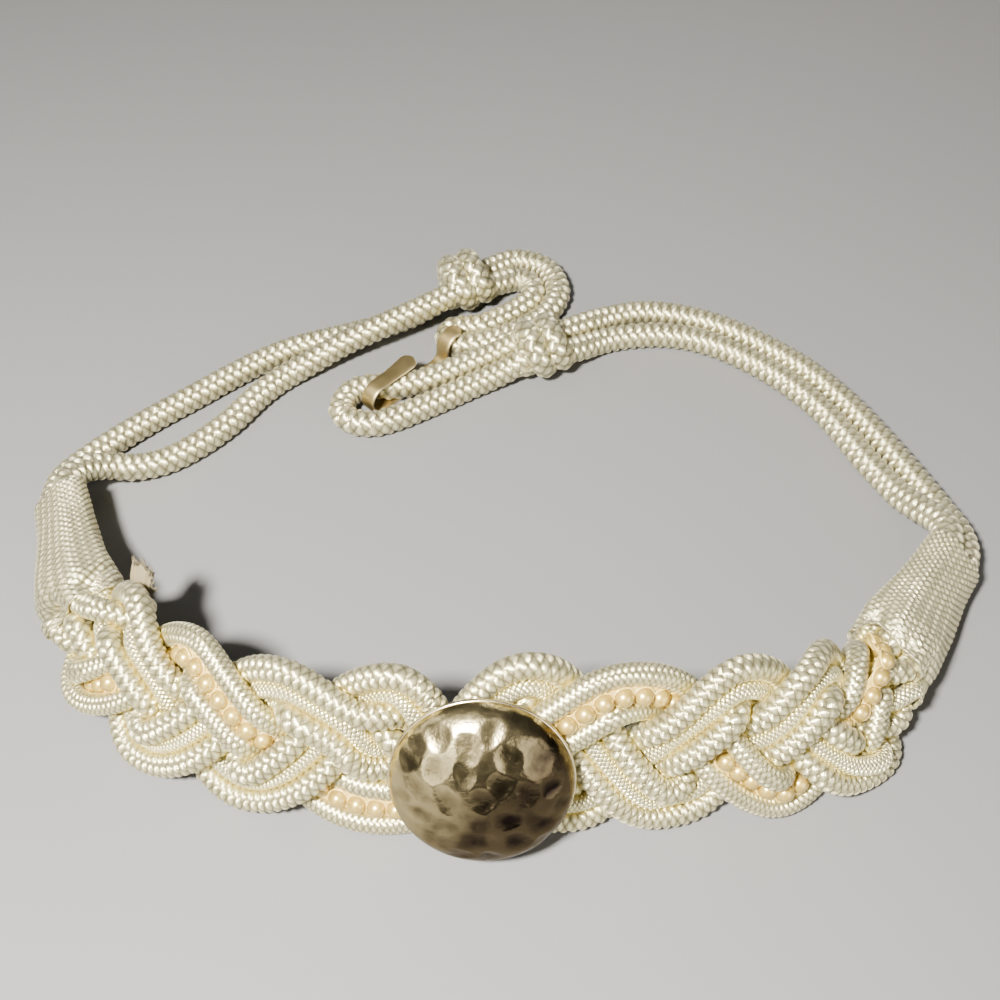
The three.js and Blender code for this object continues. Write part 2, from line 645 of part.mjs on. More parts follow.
// The dome as a thin shell, open behind, with a short upright edge.
function dome() {
  const frame = domeFrame();
  const back = (ring) => ring.map((p) => p.clone().addScaledVector(frame.out, -DOME_LIP));
  const outer = domeSide(0);
  const inner = domeSide(DOME_WALL);
  const rings = [...outer.rings, back(outer.rings.at(-1)), back(inner.rings.at(-1)), ...inner.rings.reverse()];
  const points = [outer.top, ...rings.flat(), inner.top];
  const index = [];
  const at = (ring, k) => 1 + ring * DOME_SEGMENTS + (k % DOME_SEGMENTS);
  for (let k = 0; k < DOME_SEGMENTS; k += 1) {
    index.push(0, at(0, k), at(0, k + 1));
    for (let r = 0; r < rings.length - 1; r += 1) {
      index.push(at(r, k), at(r + 1, k), at(r, k + 1), at(r, k + 1), at(r + 1, k), at(r + 1, k + 1));
    }
    index.push(at(rings.length - 1, k), points.length - 1, at(rings.length - 1, k + 1));
  }
  const geometry = new THREE.BufferGeometry();
  geometry.setAttribute("position", new THREE.BufferAttribute(new Float32Array(points.flatMap((p) => [p.x, p.y, p.z])), 3));
  geometry.setIndex(index);
  return facingOut(geometry);
}

// The cut end of tape: a short strip that stands up and bends back over its height.
function tape() {
  const half = TAPE_THICK / 2;
  const bend = [[0, 0], [TAPE_TALL * 0.35, 0.4], [TAPE_TALL * 0.7, 1.4], [TAPE_TALL, 3.2]];
  const rings = bend.map(([z, y]) => [[-1, -1], [1, -1], [1, 1], [-1, 1]].map(([sx, sy]) =>
    vec((sx * TAPE_WIDE) / 2, y + sy * half, z)));
  const geometry = skin(rings, false);
  geometry.rotateZ(toRad(TAPE_TURN));
  geometry.translate(...TAPE_AT);
  return geometry;
}

// The settled braid's nodes. Where two cords still lie too close, the later one is pressed flat
// against the earlier one, so the pearls come first and stay round.
function addBraid(cords) {
  const order = [...cords].sort((a, b) => (b.name === "pearl_string") - (a.name === "pearl_string"));
  const pressing = [];
  for (const cord of order) {
    const points = cord.points.map((point) => point.spot);
    const pearls = cord.name === "pearl_string";
    const make = (grow) => (pearls ? beadString(points, PEARL_R - TRIM + grow)
      : tube(points, cord.radius - TRIM + grow, CORD_SIDES, CORD_STEP));
    let solid = solidOf(make(0));
    for (const other of pressing) solid = solid.subtract(other);
    pressing.push(solidOf(make(PRESS_GAP)));
    const material = cord.name.includes("ribbed") ? ribbed : satin;
    add(cord.name, geometryOf(largest(solid)), pearls ? pearl : material);
  }
}

const braid = startOfBraid();
settle(braid);
addBraid(braid);
for (const row of SLEEVES) add(row.name, sleeve(row), woven);

const leftKnot = knotSolid(LEFT_KNOT, LEFT_KNOT_HEADING, 0);
const rightKnot = knotSolid(RIGHT_KNOT, RIGHT_KNOT_HEADING, 0);
const room = [knotSolid(LEFT_KNOT, LEFT_KNOT_HEADING, KNOT_GAP), knotSolid(RIGHT_KNOT, RIGHT_KNOT_HEADING, KNOT_GAP)];
add("left_knot", geometryOf(leftKnot), woven);
add("right_knot", geometryOf(rightKnot), woven);
add("left_outer_cord", cutTie(tieRoute(LEFT_EXIT, -1, LEFT_OUTER), TIE_STEP, room), woven);
add("left_inner_cord", cutTie(tieRoute(LEFT_EXIT, 1, LEFT_INNER), TIE_STEP, room), woven);
add("right_outer_cord", cutTie(tieRoute(RIGHT_EXIT, -1, RIGHT_OUTER), TIE_STEP, room), woven);
add("right_inner_cord", cutTie(tieRoute(RIGHT_EXIT, 1, RIGHT_INNER), TIE_STEP, room), woven);
add("left_loop", cutTie(tieRoute([], 1, LEFT_LOOP), LOOP_STEP, room), woven);
add("right_loop", cutTie(tieRoute([], 1, RIGHT_LOOP), LOOP_STEP, room), woven);
add("closure_hook", hook(), brass);
add("medallion", dome(), gilt);
add("frayed_tape_end", tape(), tapeCloth);

group.position.set(...GROUP_AT);

export default group;
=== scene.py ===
"""Dresses the braided satin belt: woven cords, pearls, sleeves, knots, hook and hammered dome.

Shapes are worked out in millimetres in the belt's own frame, as in the part's source, and each piece
is moved by BELT_AT and scaled to metres when its mesh is made.
"""

import json
import math
from collections import namedtuple

import bpy
import numpy as np
from mathutils import Vector
from mathutils.kdtree import KDTree
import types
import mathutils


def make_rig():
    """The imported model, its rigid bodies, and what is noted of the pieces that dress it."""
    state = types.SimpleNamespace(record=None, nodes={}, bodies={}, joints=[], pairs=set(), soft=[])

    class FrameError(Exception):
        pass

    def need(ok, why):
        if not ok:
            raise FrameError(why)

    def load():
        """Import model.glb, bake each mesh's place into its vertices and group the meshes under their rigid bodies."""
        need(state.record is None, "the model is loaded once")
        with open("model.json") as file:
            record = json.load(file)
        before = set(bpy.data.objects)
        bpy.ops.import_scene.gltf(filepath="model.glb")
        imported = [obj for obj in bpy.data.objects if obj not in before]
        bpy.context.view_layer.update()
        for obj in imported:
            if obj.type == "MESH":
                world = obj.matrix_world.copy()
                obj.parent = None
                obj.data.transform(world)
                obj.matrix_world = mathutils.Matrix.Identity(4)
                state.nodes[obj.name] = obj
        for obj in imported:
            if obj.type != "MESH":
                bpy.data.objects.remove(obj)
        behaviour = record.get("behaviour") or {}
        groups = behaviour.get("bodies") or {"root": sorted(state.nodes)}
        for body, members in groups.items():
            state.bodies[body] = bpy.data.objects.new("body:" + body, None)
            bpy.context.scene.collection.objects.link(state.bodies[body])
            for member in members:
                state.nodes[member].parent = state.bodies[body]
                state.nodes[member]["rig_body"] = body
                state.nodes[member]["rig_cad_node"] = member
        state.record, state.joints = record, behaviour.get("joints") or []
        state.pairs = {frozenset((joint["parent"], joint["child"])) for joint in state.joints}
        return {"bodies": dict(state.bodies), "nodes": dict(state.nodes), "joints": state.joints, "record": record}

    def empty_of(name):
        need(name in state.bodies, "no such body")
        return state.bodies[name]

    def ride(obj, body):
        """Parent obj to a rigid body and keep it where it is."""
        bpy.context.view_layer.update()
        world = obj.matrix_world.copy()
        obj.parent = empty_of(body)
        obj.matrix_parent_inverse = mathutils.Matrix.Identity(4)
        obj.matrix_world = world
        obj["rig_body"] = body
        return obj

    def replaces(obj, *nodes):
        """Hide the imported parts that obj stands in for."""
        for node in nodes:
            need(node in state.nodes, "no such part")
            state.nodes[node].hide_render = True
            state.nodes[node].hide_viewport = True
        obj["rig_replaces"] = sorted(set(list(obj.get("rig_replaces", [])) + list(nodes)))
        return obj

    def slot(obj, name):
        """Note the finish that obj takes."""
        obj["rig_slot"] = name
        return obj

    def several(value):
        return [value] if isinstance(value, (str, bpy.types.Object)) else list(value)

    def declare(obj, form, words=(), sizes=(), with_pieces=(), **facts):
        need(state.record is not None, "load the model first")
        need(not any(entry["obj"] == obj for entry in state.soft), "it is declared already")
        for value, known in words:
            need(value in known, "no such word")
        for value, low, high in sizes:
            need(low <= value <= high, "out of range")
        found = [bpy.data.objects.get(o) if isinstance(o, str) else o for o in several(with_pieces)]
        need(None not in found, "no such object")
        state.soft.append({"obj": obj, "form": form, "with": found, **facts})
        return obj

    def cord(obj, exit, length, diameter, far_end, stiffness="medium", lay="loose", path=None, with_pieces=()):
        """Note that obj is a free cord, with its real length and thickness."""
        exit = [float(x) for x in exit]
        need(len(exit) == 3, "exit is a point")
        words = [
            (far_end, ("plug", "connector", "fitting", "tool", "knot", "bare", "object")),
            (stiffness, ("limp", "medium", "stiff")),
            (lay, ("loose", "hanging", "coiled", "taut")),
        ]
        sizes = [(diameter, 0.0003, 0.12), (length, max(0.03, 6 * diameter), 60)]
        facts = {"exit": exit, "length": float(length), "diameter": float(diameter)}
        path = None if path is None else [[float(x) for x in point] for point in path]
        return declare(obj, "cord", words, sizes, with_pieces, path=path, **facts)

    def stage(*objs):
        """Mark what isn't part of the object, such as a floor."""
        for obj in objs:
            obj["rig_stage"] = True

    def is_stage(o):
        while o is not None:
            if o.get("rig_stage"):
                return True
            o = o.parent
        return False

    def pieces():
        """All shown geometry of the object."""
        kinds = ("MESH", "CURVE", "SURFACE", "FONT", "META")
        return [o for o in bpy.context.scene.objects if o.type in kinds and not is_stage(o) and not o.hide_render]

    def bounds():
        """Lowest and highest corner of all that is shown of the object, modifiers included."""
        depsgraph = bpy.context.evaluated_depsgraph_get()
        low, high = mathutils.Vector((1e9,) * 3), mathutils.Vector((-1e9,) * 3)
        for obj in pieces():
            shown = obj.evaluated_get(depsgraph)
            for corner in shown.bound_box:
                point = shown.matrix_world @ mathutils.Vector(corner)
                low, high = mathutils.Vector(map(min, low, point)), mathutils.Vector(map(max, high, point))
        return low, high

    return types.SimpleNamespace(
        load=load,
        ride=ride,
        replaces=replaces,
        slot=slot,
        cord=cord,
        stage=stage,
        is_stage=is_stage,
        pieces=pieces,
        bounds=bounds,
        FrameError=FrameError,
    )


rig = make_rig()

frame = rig.load()
cad_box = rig.bounds()

MM = 0.001
BELT_AT = np.array([0.9, 11.2, 0.0])
UP = np.array([0.0, 0.0, 1.0])
SIZE_FILE = "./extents.json"

# The camera looks down along +Y at the front of the loop.
CAMERA_AT = (0.0009, -0.2058, 0.330)
CAMERA_DOWN = 50
CAMERA_LENS = 46.8
CAMERA_SENSOR = 36

# The band that the braid fills: station along it, heading and lean in degrees, share of full width.
BAND = np.array([
    (-200, -72, 42, 0.3), (-165, -71, 42, 0.32), (-150, -64, 40, 0.42), (-134, -56, 39, 0.6),
    (-120, -50, 37, 0.85), (-105, -40, 34, 0.97), (-85, -27, 30, 1), (-65, -15, 26, 1),
    (-30, -6, 22, 1), (0, 0, 20, 1), (30, 5, 22, 1), (70, 8, 26, 1), (86, 22, 30, 0.95),
    (98, 42, 35, 0.72), (112, 54, 40, 0.56), (124, 56, 42, 0.5), (140, 54, 44, 0.36), (200, 52, 44, 0.3),
])
HEADING, LEAN, GATHER = 1, 2, 3
BAND_END = 200
BAND_STEP = 0.5
BAND_HALF = 23.3
BAND_GATHERED = 0.45
BAND_RISE = 4
FRONT = (0.0, -49.0)

# The plait, as in the part's source: where each strand turns, on which side of the band, and the half
# waves that it makes out of the band before its next turn.
SWING = 14
WEAVE = 4.2
BRAID_LEFT = -145
BRAID_RIGHT = 132
SAMPLE = 2.4
TURNS = {
    "first": [(-182, 1, 2), (-148, -1, 2), (-121, 1, 2), (-68, -1, 2), (-32, 1, 0), (-12, 0.15, 0),
              (5, 1.7, -2), (44, -1, -2), (91, 1, -2), (128, -1, -2), (165, 1, -2)],
    "second": [(-172, -1, 2), (-139, 1, 2), (-98, -1, 2), (-61, 1, 3), (22, -1, -2), (66, 1.1, -2),
               (98, -1, -2), (138, 1, -2), (184, -1, -2)],
    "pearl": [(-166, 1, 2), (-130, -1, 2), (-88, 1, 2), (-36, -1.3, 1), (34, 1.4, -2), (78, -1, -2),
              (119, 1, -2), (166, -1, -2)],
}
THICK_R, THIN_R, FINE_R, PEARL_R = 3.3, 2.3, 2.9, 2.45
CORD_GAP = 0.35

# Each cord of the braid: its node, strand, radius, and side of the strand.
BRAID = [
    ("first_strand_upper_cord", "first", THICK_R, 1),
    ("first_strand_ribbed_cord", "first", THIN_R, 0),
    ("first_strand_lower_cord", "first", THICK_R, -1),
    ("second_strand_upper_cord", "second", THICK_R, 1),
    ("second_strand_ribbed_cord", "second", THIN_R, 0),
    ("second_strand_lower_cord", "second", THICK_R, -1),
    ("pearl_strand_upper_cord", "pearl", FINE_R, 1),
    ("pearl_string", "pearl", PEARL_R, 0),
    ("pearl_strand_lower_cord", "pearl", FINE_R, -1),
]
SPREAD = {"first": THICK_R + THIN_R + CORD_GAP, "second": THICK_R + THIN_R + CORD_GAP,
          "pearl": FINE_R + PEARL_R + CORD_GAP}

# How the cords settle against each other.
SETTLE_ROUNDS = 520
SETTLE_LATE = 0.6
SETTLE_REACH = 16
SETTLE_PRESS = 0.015
SETTLE_HOME = 0.012
SETTLE_MOVE = 1.6
EARLY_PUSH, LATE_PUSH = 0.5, 0.9
EARLY_SMOOTH, LATE_SMOOTH = 0.6, 0.12

# The sleeves from mouth to tip: station, inner half height and inner half thickness.
SLEEVE_WALL = 1.3
SLEEVES = {
    "left_sleeve": np.array([
        (-137, 15, 11.5), (-147, 14, 10.5), (-161, 12, 8), (-176, 10.6, 5.8), (-188, 9.9, 5.4)]),
    "right_sleeve": np.array([
        (120, 13.6, 11.8), (131, 13.2, 10.6), (146, 12, 8), (160, 10.6, 5.8), (171, 9.9, 5.4)]),
}
SLEEVE_MARGIN = 0.7
MOUTH_LIP = 4
MOUTH_REACH = 16
MOUTH_FLARE = 0.9
MOUTH_SLANT = {"left_sleeve": 3, "right_sleeve": 5}
LINING_STEP = 3.0
LINING_OUT = 0.2
SLEEVE_SWELL = 0.3

# The hem between a sleeve's lining and its outside: share of the wall, and share of HEM ahead of the mouth.
HEM = 0.9
HEM_CURVE = [(0.25, 0.1), (0.6, 0.45), (0.95, 0.5)]

# The sleeves' soft ridges over the cords in them, and how they are drawn in at the mouth and the tip.
RIDGE = 0.5
RIDGES = 7
RIDGE_FADE = 0.7
RIDGE_TWIST = 2.2
RIPPLE = 0.5
RIPPLE_WAVES = (9, 3)
TIP_PINCH = 1.1
HUG_REACH = 13
HUG_GAP = 0.1
HUG_LAYER = 2.5
HUG_BEARINGS = 90

# The ties behind: radius, then the stations and points of each route as in the part's source.
TIE_R = 4.4
TIE_SWELL = 0.25
TIE_ASIDE = 4.65
LEFT_EXIT = (-177, -183, -188)
RIGHT_EXIT = (160, 166, 171)
LEFT_OUTER = [
    (-143.5, 54, 9.1), (-143, 62.5, 7.8), (-138, 72, 6.2), (-130.5, 82, 4.9), (-120, 92.5, 4.5),
    (-107, 103.5, 4.5), (-96, 113, 4.5), (-85, 121.5, 4.5), (-74, 128, 4.5), (-62, 132.6, 4.5),
    (-50, 137, 4.5), (-37, 142.6, 4.7), (-25, 149.5, 6.4), (-15, 157.5, 9)]
LEFT_INNER = [
    (-137.5, 55, 16.2), (-135, 61.5, 13.6), (-129.5, 66.5, 9.6), (-121.5, 69, 6.2), (-112.5, 73, 4.6),
    (-103, 80, 4.5), (-93, 91, 4.5), (-84.5, 104, 4.5), (-77, 112.5, 4.6), (-68, 118.8, 6),
    (-56, 125.8, 9), (-42, 132.8, 11.3), (-26, 141.5, 13.2), (-10.5, 152, 14)]
RIGHT_OUTER = [
    (145, 31, 8.8), (145.4, 40, 7.2), (142.8, 50, 5.6), (139.6, 60, 4.6), (134.5, 72, 4.5),
    (127, 88, 4.5), (119.5, 102, 4.5), (108.5, 117, 4.5), (95, 129.5, 4.5), (81.5, 139, 4.5),
    (67, 145, 4.5), (53, 147, 4.5), (40, 143.5, 5), (30, 137, 7.5), (21, 131, 8.8), (12, 125, 9.6)]
RIGHT_INNER = [
    (138.6, 34, 15.4), (137.4, 41.5, 12.8), (133.8, 49, 9.4), (130.3, 57, 6.1), (127, 65, 4.7),
    (122.5, 74, 4.5), (117, 86.5, 4.5), (111, 98, 4.5), (101, 111, 4.5), (88.5, 122.5, 4.5),
    (76, 130.5, 4.5), (63, 134.5, 4.5), (50, 134.5, 4.5), (38, 131.5, 4.9), (29, 125, 7.5),
    (22, 120, 10), (16, 115.5, 12.6)]
LEFT_LOOP = [
    (-15, 162, 9), (-6, 168.5, 6.5), (6, 176.6, 4.6), (17, 172.5, 4.5), (22, 159, 4.5),
    (17.4, 146.4, 4.5), (8.8, 138.2, 4.5), (-0.6, 133, 4.5), (-8, 130.2, 4.5), (-13.5, 129.4, 4.5),
    (-17.6, 130.6, 4.5), (-19.3, 134.1, 4.5), (-17.6, 137.6, 4.5), (-13.5, 138.9, 4.5), (-7, 139.8, 4.5),
    (-0.6, 143.4, 4.5), (7, 149.2, 4.5), (12.6, 156.5, 4.5), (11, 163.4, 4.6), (6, 165.4, 4.8),
    (0.5, 161.6, 6.8), (-6, 156, 9)]
RIGHT_LOOP = [
    (10, 127.6, 10), (5, 126.3, 7.8), (-2, 122.8, 6.6), (-9.3, 119.2, 6.3), (-20.5, 113, 6.2),
    (-29.5, 108.7, 6), (-38, 107, 5.9), (-45.2, 107.1, 5.9), (-51.1, 104.8, 5.8), (-54.3, 100.3, 5.3),
    (-54.6, 95.4, 4.9), (-50.8, 91.5, 4.6), (-43.6, 90.4, 4.5), (-35.5, 93.4, 4.5), (-28, 97.6, 4.5),
    (-20.3, 102.2, 4.5), (-9.4, 109, 4.6), (2, 114.6, 6.2), (9, 117.5, 9)]

# The knots: middle, heading in degrees, and how the cord is wound round its core.
KNOTS = {"left_knot": ((-13.3, 156.7, 11.8), 30), "right_knot": ((14.6, 121.2, 11.8), 28)}
KNOT_WINDS = 2.1
KNOT_PITCH = 7.4
KNOT_RING = 6.9
KNOT_SLANT = 2.6
KNOT_START = 0.35
KNOT_LAG = 0.6
KNOT_TUCK = 3.4
KNOT_TUCKED = 0.1
KNOT_CORE_HALF = 9.5
KNOT_CORE_R = 5.2
KNOT_CORE_SIDES = 32
KNOT_CORE_RINGS = 34
KNOT_CORE_CUT = 0.97
KNOT_POINTS = 160

# The hook: place, heading, and the sizes of its strip, bend, lip and curl.
HOOK_AT = (-46.2, 98.1)
HOOK_TURN = 47
HOOK_WIDE = 5.7
HOOK_STRIP = 1.2
HOOK_BEND = 4.75
HOOK_LIP = 17
HOOK_LIP_RISE = 0.9
HOOK_CURL_AT = 43.5
HOOK_CURL = 6.2
HOOK_CURL_HIGH = 5
HOOK_CURL_PAST = 25
HOOK_CORNER = 3.5
HOOK_LIFT = 0.1
HOOK_TIP_WIDE = 7.4
HOOK_TIP_LONG = 12
HOOK_TIP_ROUND = 3.4
HOOK_TIP_CUT = 0.985
HOOK_SIDES = 28
HOOK_ROUNDING = (0.45, 0.55)
HOOK_EDGE_FROM = 0.93
HOOK_EDGE_WORN = 0.8

# The dome, and its hammered dents: place across and up as shares of the half size, and size in mm.
DOME_STATION = -4.6
DOME_UP = 0.1
DOME_OUT = 7.4
DOME_TIP = 6
DOME_HALF = 24
DOME_HIGH = 12.5
DOME_WALL = 1.2
DOME_LIP = 1.1
DOME_SEGMENTS = 168
DOME_RINGS = 76
DOME_TOP = 0.012
RIM_INSET = 0.1
RIM_R = 0.55
RIM_TALL = 1.1
RIM_UP = 0.6
RIM_SIDES = 12
# The way over the dome in which the painted dark reflection grows, and how far it reaches.
DARK_REFLECTION_WAY = (0.65, -0.62)
DARK_REFLECTION_REACH = 0.81
DENT_DEEP = 0.7
DENT_OVAL = 0.2
DENT_WOBBLE = 0.09
DENT_FLAT = 0.45
DENT_TURN = 2.4
DENT_UNEVEN = 0.2
DENTS = [
    (-0.45, 0.71, 3.6), (-0.68, 0.57, 2.6), (-0.76, 0.44, 3.2), (-0.46, 0.41, 3.9), (-0.13, 0.64, 3.9),
    (0.12, 0.79, 3.2), (0.29, 0.51, 4.1), (0.62, 0.51, 4.4), (-0.16, 0.37, 3.2), (0.2, 0.26, 3.9),
    (-0.35, 0.06, 3.9), (0.02, 0.07, 3.9), (0.49, 0.13, 3.6), (0.74, 0.14, 2.9), (-0.02, -0.21, 3.6),
    (0.29, -0.19, 3.8), (-0.67, 0.14, 3.8), (-0.64, -0.19, 3.4), (0.62, -0.29, 4.2), (-0.38, -0.3, 3.4),
    (-0.5, -0.52, 3.8), (-0.05, -0.48, 4.2), (0.4, -0.52, 4.2), (-0.24, -0.75, 3.4), (0.1, -0.8, 3.6),
    (-0.84, -0.02, 2.8), (0.85, -0.1, 2.8), (0.68, -0.6, 3.2)]

# The cut end of tape behind the left end of the braid.
TAPE_AT = (-102.7, 1.9, 27)
TAPE_TURN = -40
TAPE_WIDE = 9.5
TAPE_TALL = 10.5
TAPE_THICK = 0.8
TAPE_SQUARE = 0.35
TAPE_BEND = 3.2
TAPE_ROWS = 26
TAPE_SIDES = 64
TAPE_DROOP = 0.09
TAPE_GROWTH = (0.82, 0.16)
WARP, WARP_WAVES = 0.55, 2.3
CREASE, CREASE_WAVES = 0.2, 6.1
RAGGED = [(0.6, 3.1, 1), (0.45, 7.3, 0), (0.3, 12.1, 0)]

# The loose threads: from left to right along the cut edge, and the last of them down its right side.
FIBRES = 72
FIBRE_R = 0.14
FIBRE_STEP = 0.35
FIBRE_SIDES = 6
FIBRE_FACING = (0.3, -0.8, 0.5)
FIBRE_EDGE, FIBRE_SPREAD = 0.46, 1.15
FIBRE_DOWN_FROM, FIBRE_DOWN = 1.9, 1.3
FIBRE_ROOT = 0.5
FIBRE_UNEVEN = 0.4
FIBRE_LEAN, LEAN_CHANGE = 0.3, 1.1
FIBRE_OUT, OUT_CHANGE = 0.5, 0.8
FIBRE_RISE, RISE_CHANGE = 2.1, 0.9
FIBRE_FAN, LEAN_FROM, DROP_FROM = 2.2, 0.6, 0.4
FIBRE_CURL = 0.35
FIBRE_BENDS = [(0, 0), (0.35, 0.4), (0.75, 0.6), (1, 0)]

# How finely lines are worked out, and how many neighbours directions and reaches are averaged over.
CURVE_STEPS = 24
COARSE_STEP = 1.0
PATH_EVERY = 4
FACING_SPOTS = 140
WINDOW = 15

# The weaves: bundles each way, pitch, depth of the mesh's relief, step of its rings and their sides. The
# higher seam is, the narrower the painted shade in the seams. bump stands in for relief, and thread is a thread's
# height.
Weave = namedtuple("Weave", "bundles pitch depth step sides seam bump threads thread")
THICK_WEAVE = Weave(4, 2.5, 0.95, 0.4, 40, 0.6, 0, 7, 0.00006)
FINE_WEAVE = Weave(6, 1.7, 0.48, 0.36, 40, 0.6, 0, 5, 0.00004)
RIB_WEAVE = Weave(7, 1.3, 0, 0.9, 20, 2.4, 0.0005, 3, 0.00002)
TIE_WEAVE = Weave(4, 3.4, 1.1, 0.6, 40, 0.6, 0, 7, 0.00008)
SLEEVE_WEAVE = Weave(22, 2.3, 0.85, 0.45, 176, 0.6, 0, 5, 0.00005)
TAPE_WEAVE = (22, 0.7, 2)
WEAVES = {THICK_R: THICK_WEAVE, FINE_R: FINE_WEAVE, THIN_R: RIB_WEAVE}
GLOSS_SLOPE = 1.2

# How far the crests of each cord's relief stand out of the plain cord.
SWELLS = {THICK_R: 0.35, FINE_R: 0.35, THIN_R: 0.4}

# The share of a thick cord's relief that is left where its strand turns over the top edge.
SMOOTH_CREST = 0.6
CREST_FROM = 0.45

# Ribbed cords, right of the dome, and pearls stand out of the plait where no other cord lies over them.
RIB_LIFT = 1.1
RIB_LIFT_RISE = 20
PEARL_LIFT = 2.0
LIFT_EASE = 5
LIFT_ABOVE = 2.2
LIFT_BESIDE = 5
# Reach of the mask of the painted yellow crevice shade.
CREVICE_SHADE_REACH = 2.2

# The pearls, and the thread and rings between them.
PEARL_PITCH = 5.5
PEARL_SWELL = 0.2
PEARL_HOLE = 0.02
PEARL_SIDES = 24
PEARL_RINGS = 14
PEARL_STEP = 0.5
FILM_HALF = 3.0
FILM_THICK = 0.45
FILM_BEHIND = 0.8
FILM_WAVE = 0.12
FILM_SIDES = 20
COLLAR_BEHIND = 0.2
COLLAR_R = 2.95
COLLAR_TUBE = 0.34
COLLAR_SIDES = (28, 8)
COLLAR_START = (0.35, 0.6, 0.1)

# Colours, alone or as the two that a material wanders between.
SATIN_ROUGH = 0.35
SATIN = (0.88, 0.805, 0.475, 1)
WOVEN = (0.87, 0.8, 0.495, 1)
# Painted shade in the seams between stitches.
SEAM_SHADE = (0.13, 0.112, 0.042, 1)
# Painted yellow shade and bounce light where cords lie close together.
CREVICE_SHADE = (0.74, 0.62, 0.18, 1)
CREAM = (0.5, 0.345, 0.06, 1), (0.6, 0.425, 0.095, 1)
# Painted shade towards a pearl's rim as the camera sees it.
PEARL_RIM_SHADE = (0.2, 0.115, 0.02, 1)
FILM = (0.5, 0.345, 0.08, 1), (0.64, 0.465, 0.13, 1)
# The dome's metal, and a darker colour that paints shade into its dents.
CHAMPAGNE_AND_DENT_SHADE = (0.56, 0.465, 0.24, 1), (0.14, 0.105, 0.05, 1)
# Painted dark reflection on the dome's lower right.
DARK_REFLECTION = (0.075, 0.056, 0.031, 1), (0.012, 0.008, 0.007, 1)
DOME_TINT = (0.72, 0.68, 0.62, 1)
RIM = (0.86, 0.76, 0.52, 1), (0.6, 0.49, 0.3, 1)
GOLD = (0.48, 0.375, 0.17, 1), (0.35, 0.26, 0.11, 1)
WORN_GOLD = (0.84, 0.72, 0.48, 1)
# The tape's threads, and a darker colour that paints shade into the gaps of its weave.
TAPE_AND_WEAVE_SHADE = (0.105, 0.08, 0.033, 1), (0.21, 0.165, 0.078, 1)
FLOOR = (0.122, 0.12, 0.117, 1), (0.134, 0.132, 0.128, 1)
FLOOR_HALF = 0.9

# The lights: place, what each points at, size and power.
LIGHTS = {
    "key": ((-0.2, -0.3, 0.58), (0, 0.03, 0), 0.09, 37),
    "left_soft": ((-0.8, 0.3, 0.5), (0, 0.05, 0), 0.5, 1.4),
    "back_soft": ((0.3, 0.85, 0.55), (0, 0.05, 0), 0.5, 2.0),
    "front_left": ((-0.5, -0.72, 0.34), (0, -0.05, 0.03), 0.5, 2.3),
    "front_right": ((0.62, -0.62, 0.36), (0, -0.05, 0.03), 0.7, 5.4),
}
LIGHT_COLOUR = (1.0, 0.975, 0.93)

# The room: its colours, and the directions and noise between which they change.
WORLD_TOP = (0.06, 0.06, 0.063, 1)
WORLD_FRONT = (0.012, 0.01, 0.012, 1)
WORLD_PATCH = (0.2, 0.19, 0.15, 1)
WORLD_LOW = (0.06, 0.058, 0.055, 1)
FRONT_RANGE = (-0.25, -0.75)
HIGH_RANGE = (0, 0.45)
PATCH_RANGE = (0.48, 0.62)
PATCH_WAVES = 2.6
PATCH_DETAIL = 1.5


def full_turn(count):
    """The angles of even steps round a full turn."""
    return 2 * np.pi * np.arange(count) / count


def circle(angle, first, second):
    """The directions at the angles, which turn from first to second."""
    return np.cos(angle)[..., None] * first + np.sin(angle)[..., None] * second


def spin(degrees):
    """The matrix that turns rows of points about the vertical."""
    turn = math.radians(degrees)
    return np.array([[math.cos(turn), math.sin(turn), 0], [-math.sin(turn), math.cos(turn), 0], [0, 0, 1]])


def unit(vectors):
    """The vectors at length one."""
    return vectors / np.linalg.norm(vectors, axis=-1, keepdims=True)


def running_sum(values):
    """The sums of the values so far, from 0."""
    return np.concatenate([[0], np.cumsum(values)])


def way_along(line):
    """How far along a line each of its points lies."""
    return running_sum(np.linalg.norm(np.diff(line, axis=0), axis=1))


def line_frame(line, facing):
    """The directions along a line, towards facing and to the side, at each of its points."""
    tangent = unit(np.gradient(line, axis=0))
    normal = unit(facing - (facing * tangent).sum(-1, keepdims=True) * tangent)
    return tangent, normal, np.cross(tangent, normal)


def rows_at(at, knots, rows):
    """The rows at some places, between those at the knots."""
    return np.stack([np.interp(at, knots, column) for column in rows.T], -1)


def eased(values, window, ends="edge"):
    """The values, each averaged with its neighbours by the weights of a window."""
    return np.convolve(np.pad(values, len(window) // 2, mode=ends), window / window.sum(), "valid")


def blunt(values, power):
    """Sines or cosines, drawn out to the sides so that a circle becomes a rounded box."""
    return np.sign(values) * np.abs(values) ** power


def mix(at, start, end, first, second):
    """What is reached at a time between start and end, on the way from first to second."""
    return ((end - at) * first + (at - start) * second) / (end - start)


def smooth_line(points, step):
    """Evenly spaced points on a centripetal Catmull-Rom curve through the given ones."""
    points = np.asarray(points, float)
    path = np.concatenate([[2 * points[0] - points[1]], points, [2 * points[-1] - points[-2]]])
    knots = running_sum(np.sqrt(np.linalg.norm(np.diff(path, axis=0), axis=1)))
    dense = []
    for k in range(len(path) - 3):
        time = knots[k:k + 4]
        at = np.linspace(time[1], time[2], CURVE_STEPS, endpoint=False)[:, None]
        sides = [mix(at, time[i], time[i + 1], path[k + i], path[k + i + 1]) for i in range(3)]
        pair = [mix(at, time[i], time[i + 2], sides[i], sides[i + 1]) for i in range(2)]
        dense.append(mix(at, time[1], time[2], *pair))
    dense = np.concatenate([*dense, points[-1:]])
    way = way_along(dense)
    steps = max(2, round(way[-1] / step))
    return rows_at(np.linspace(0, way[-1], steps + 1), way, dense)


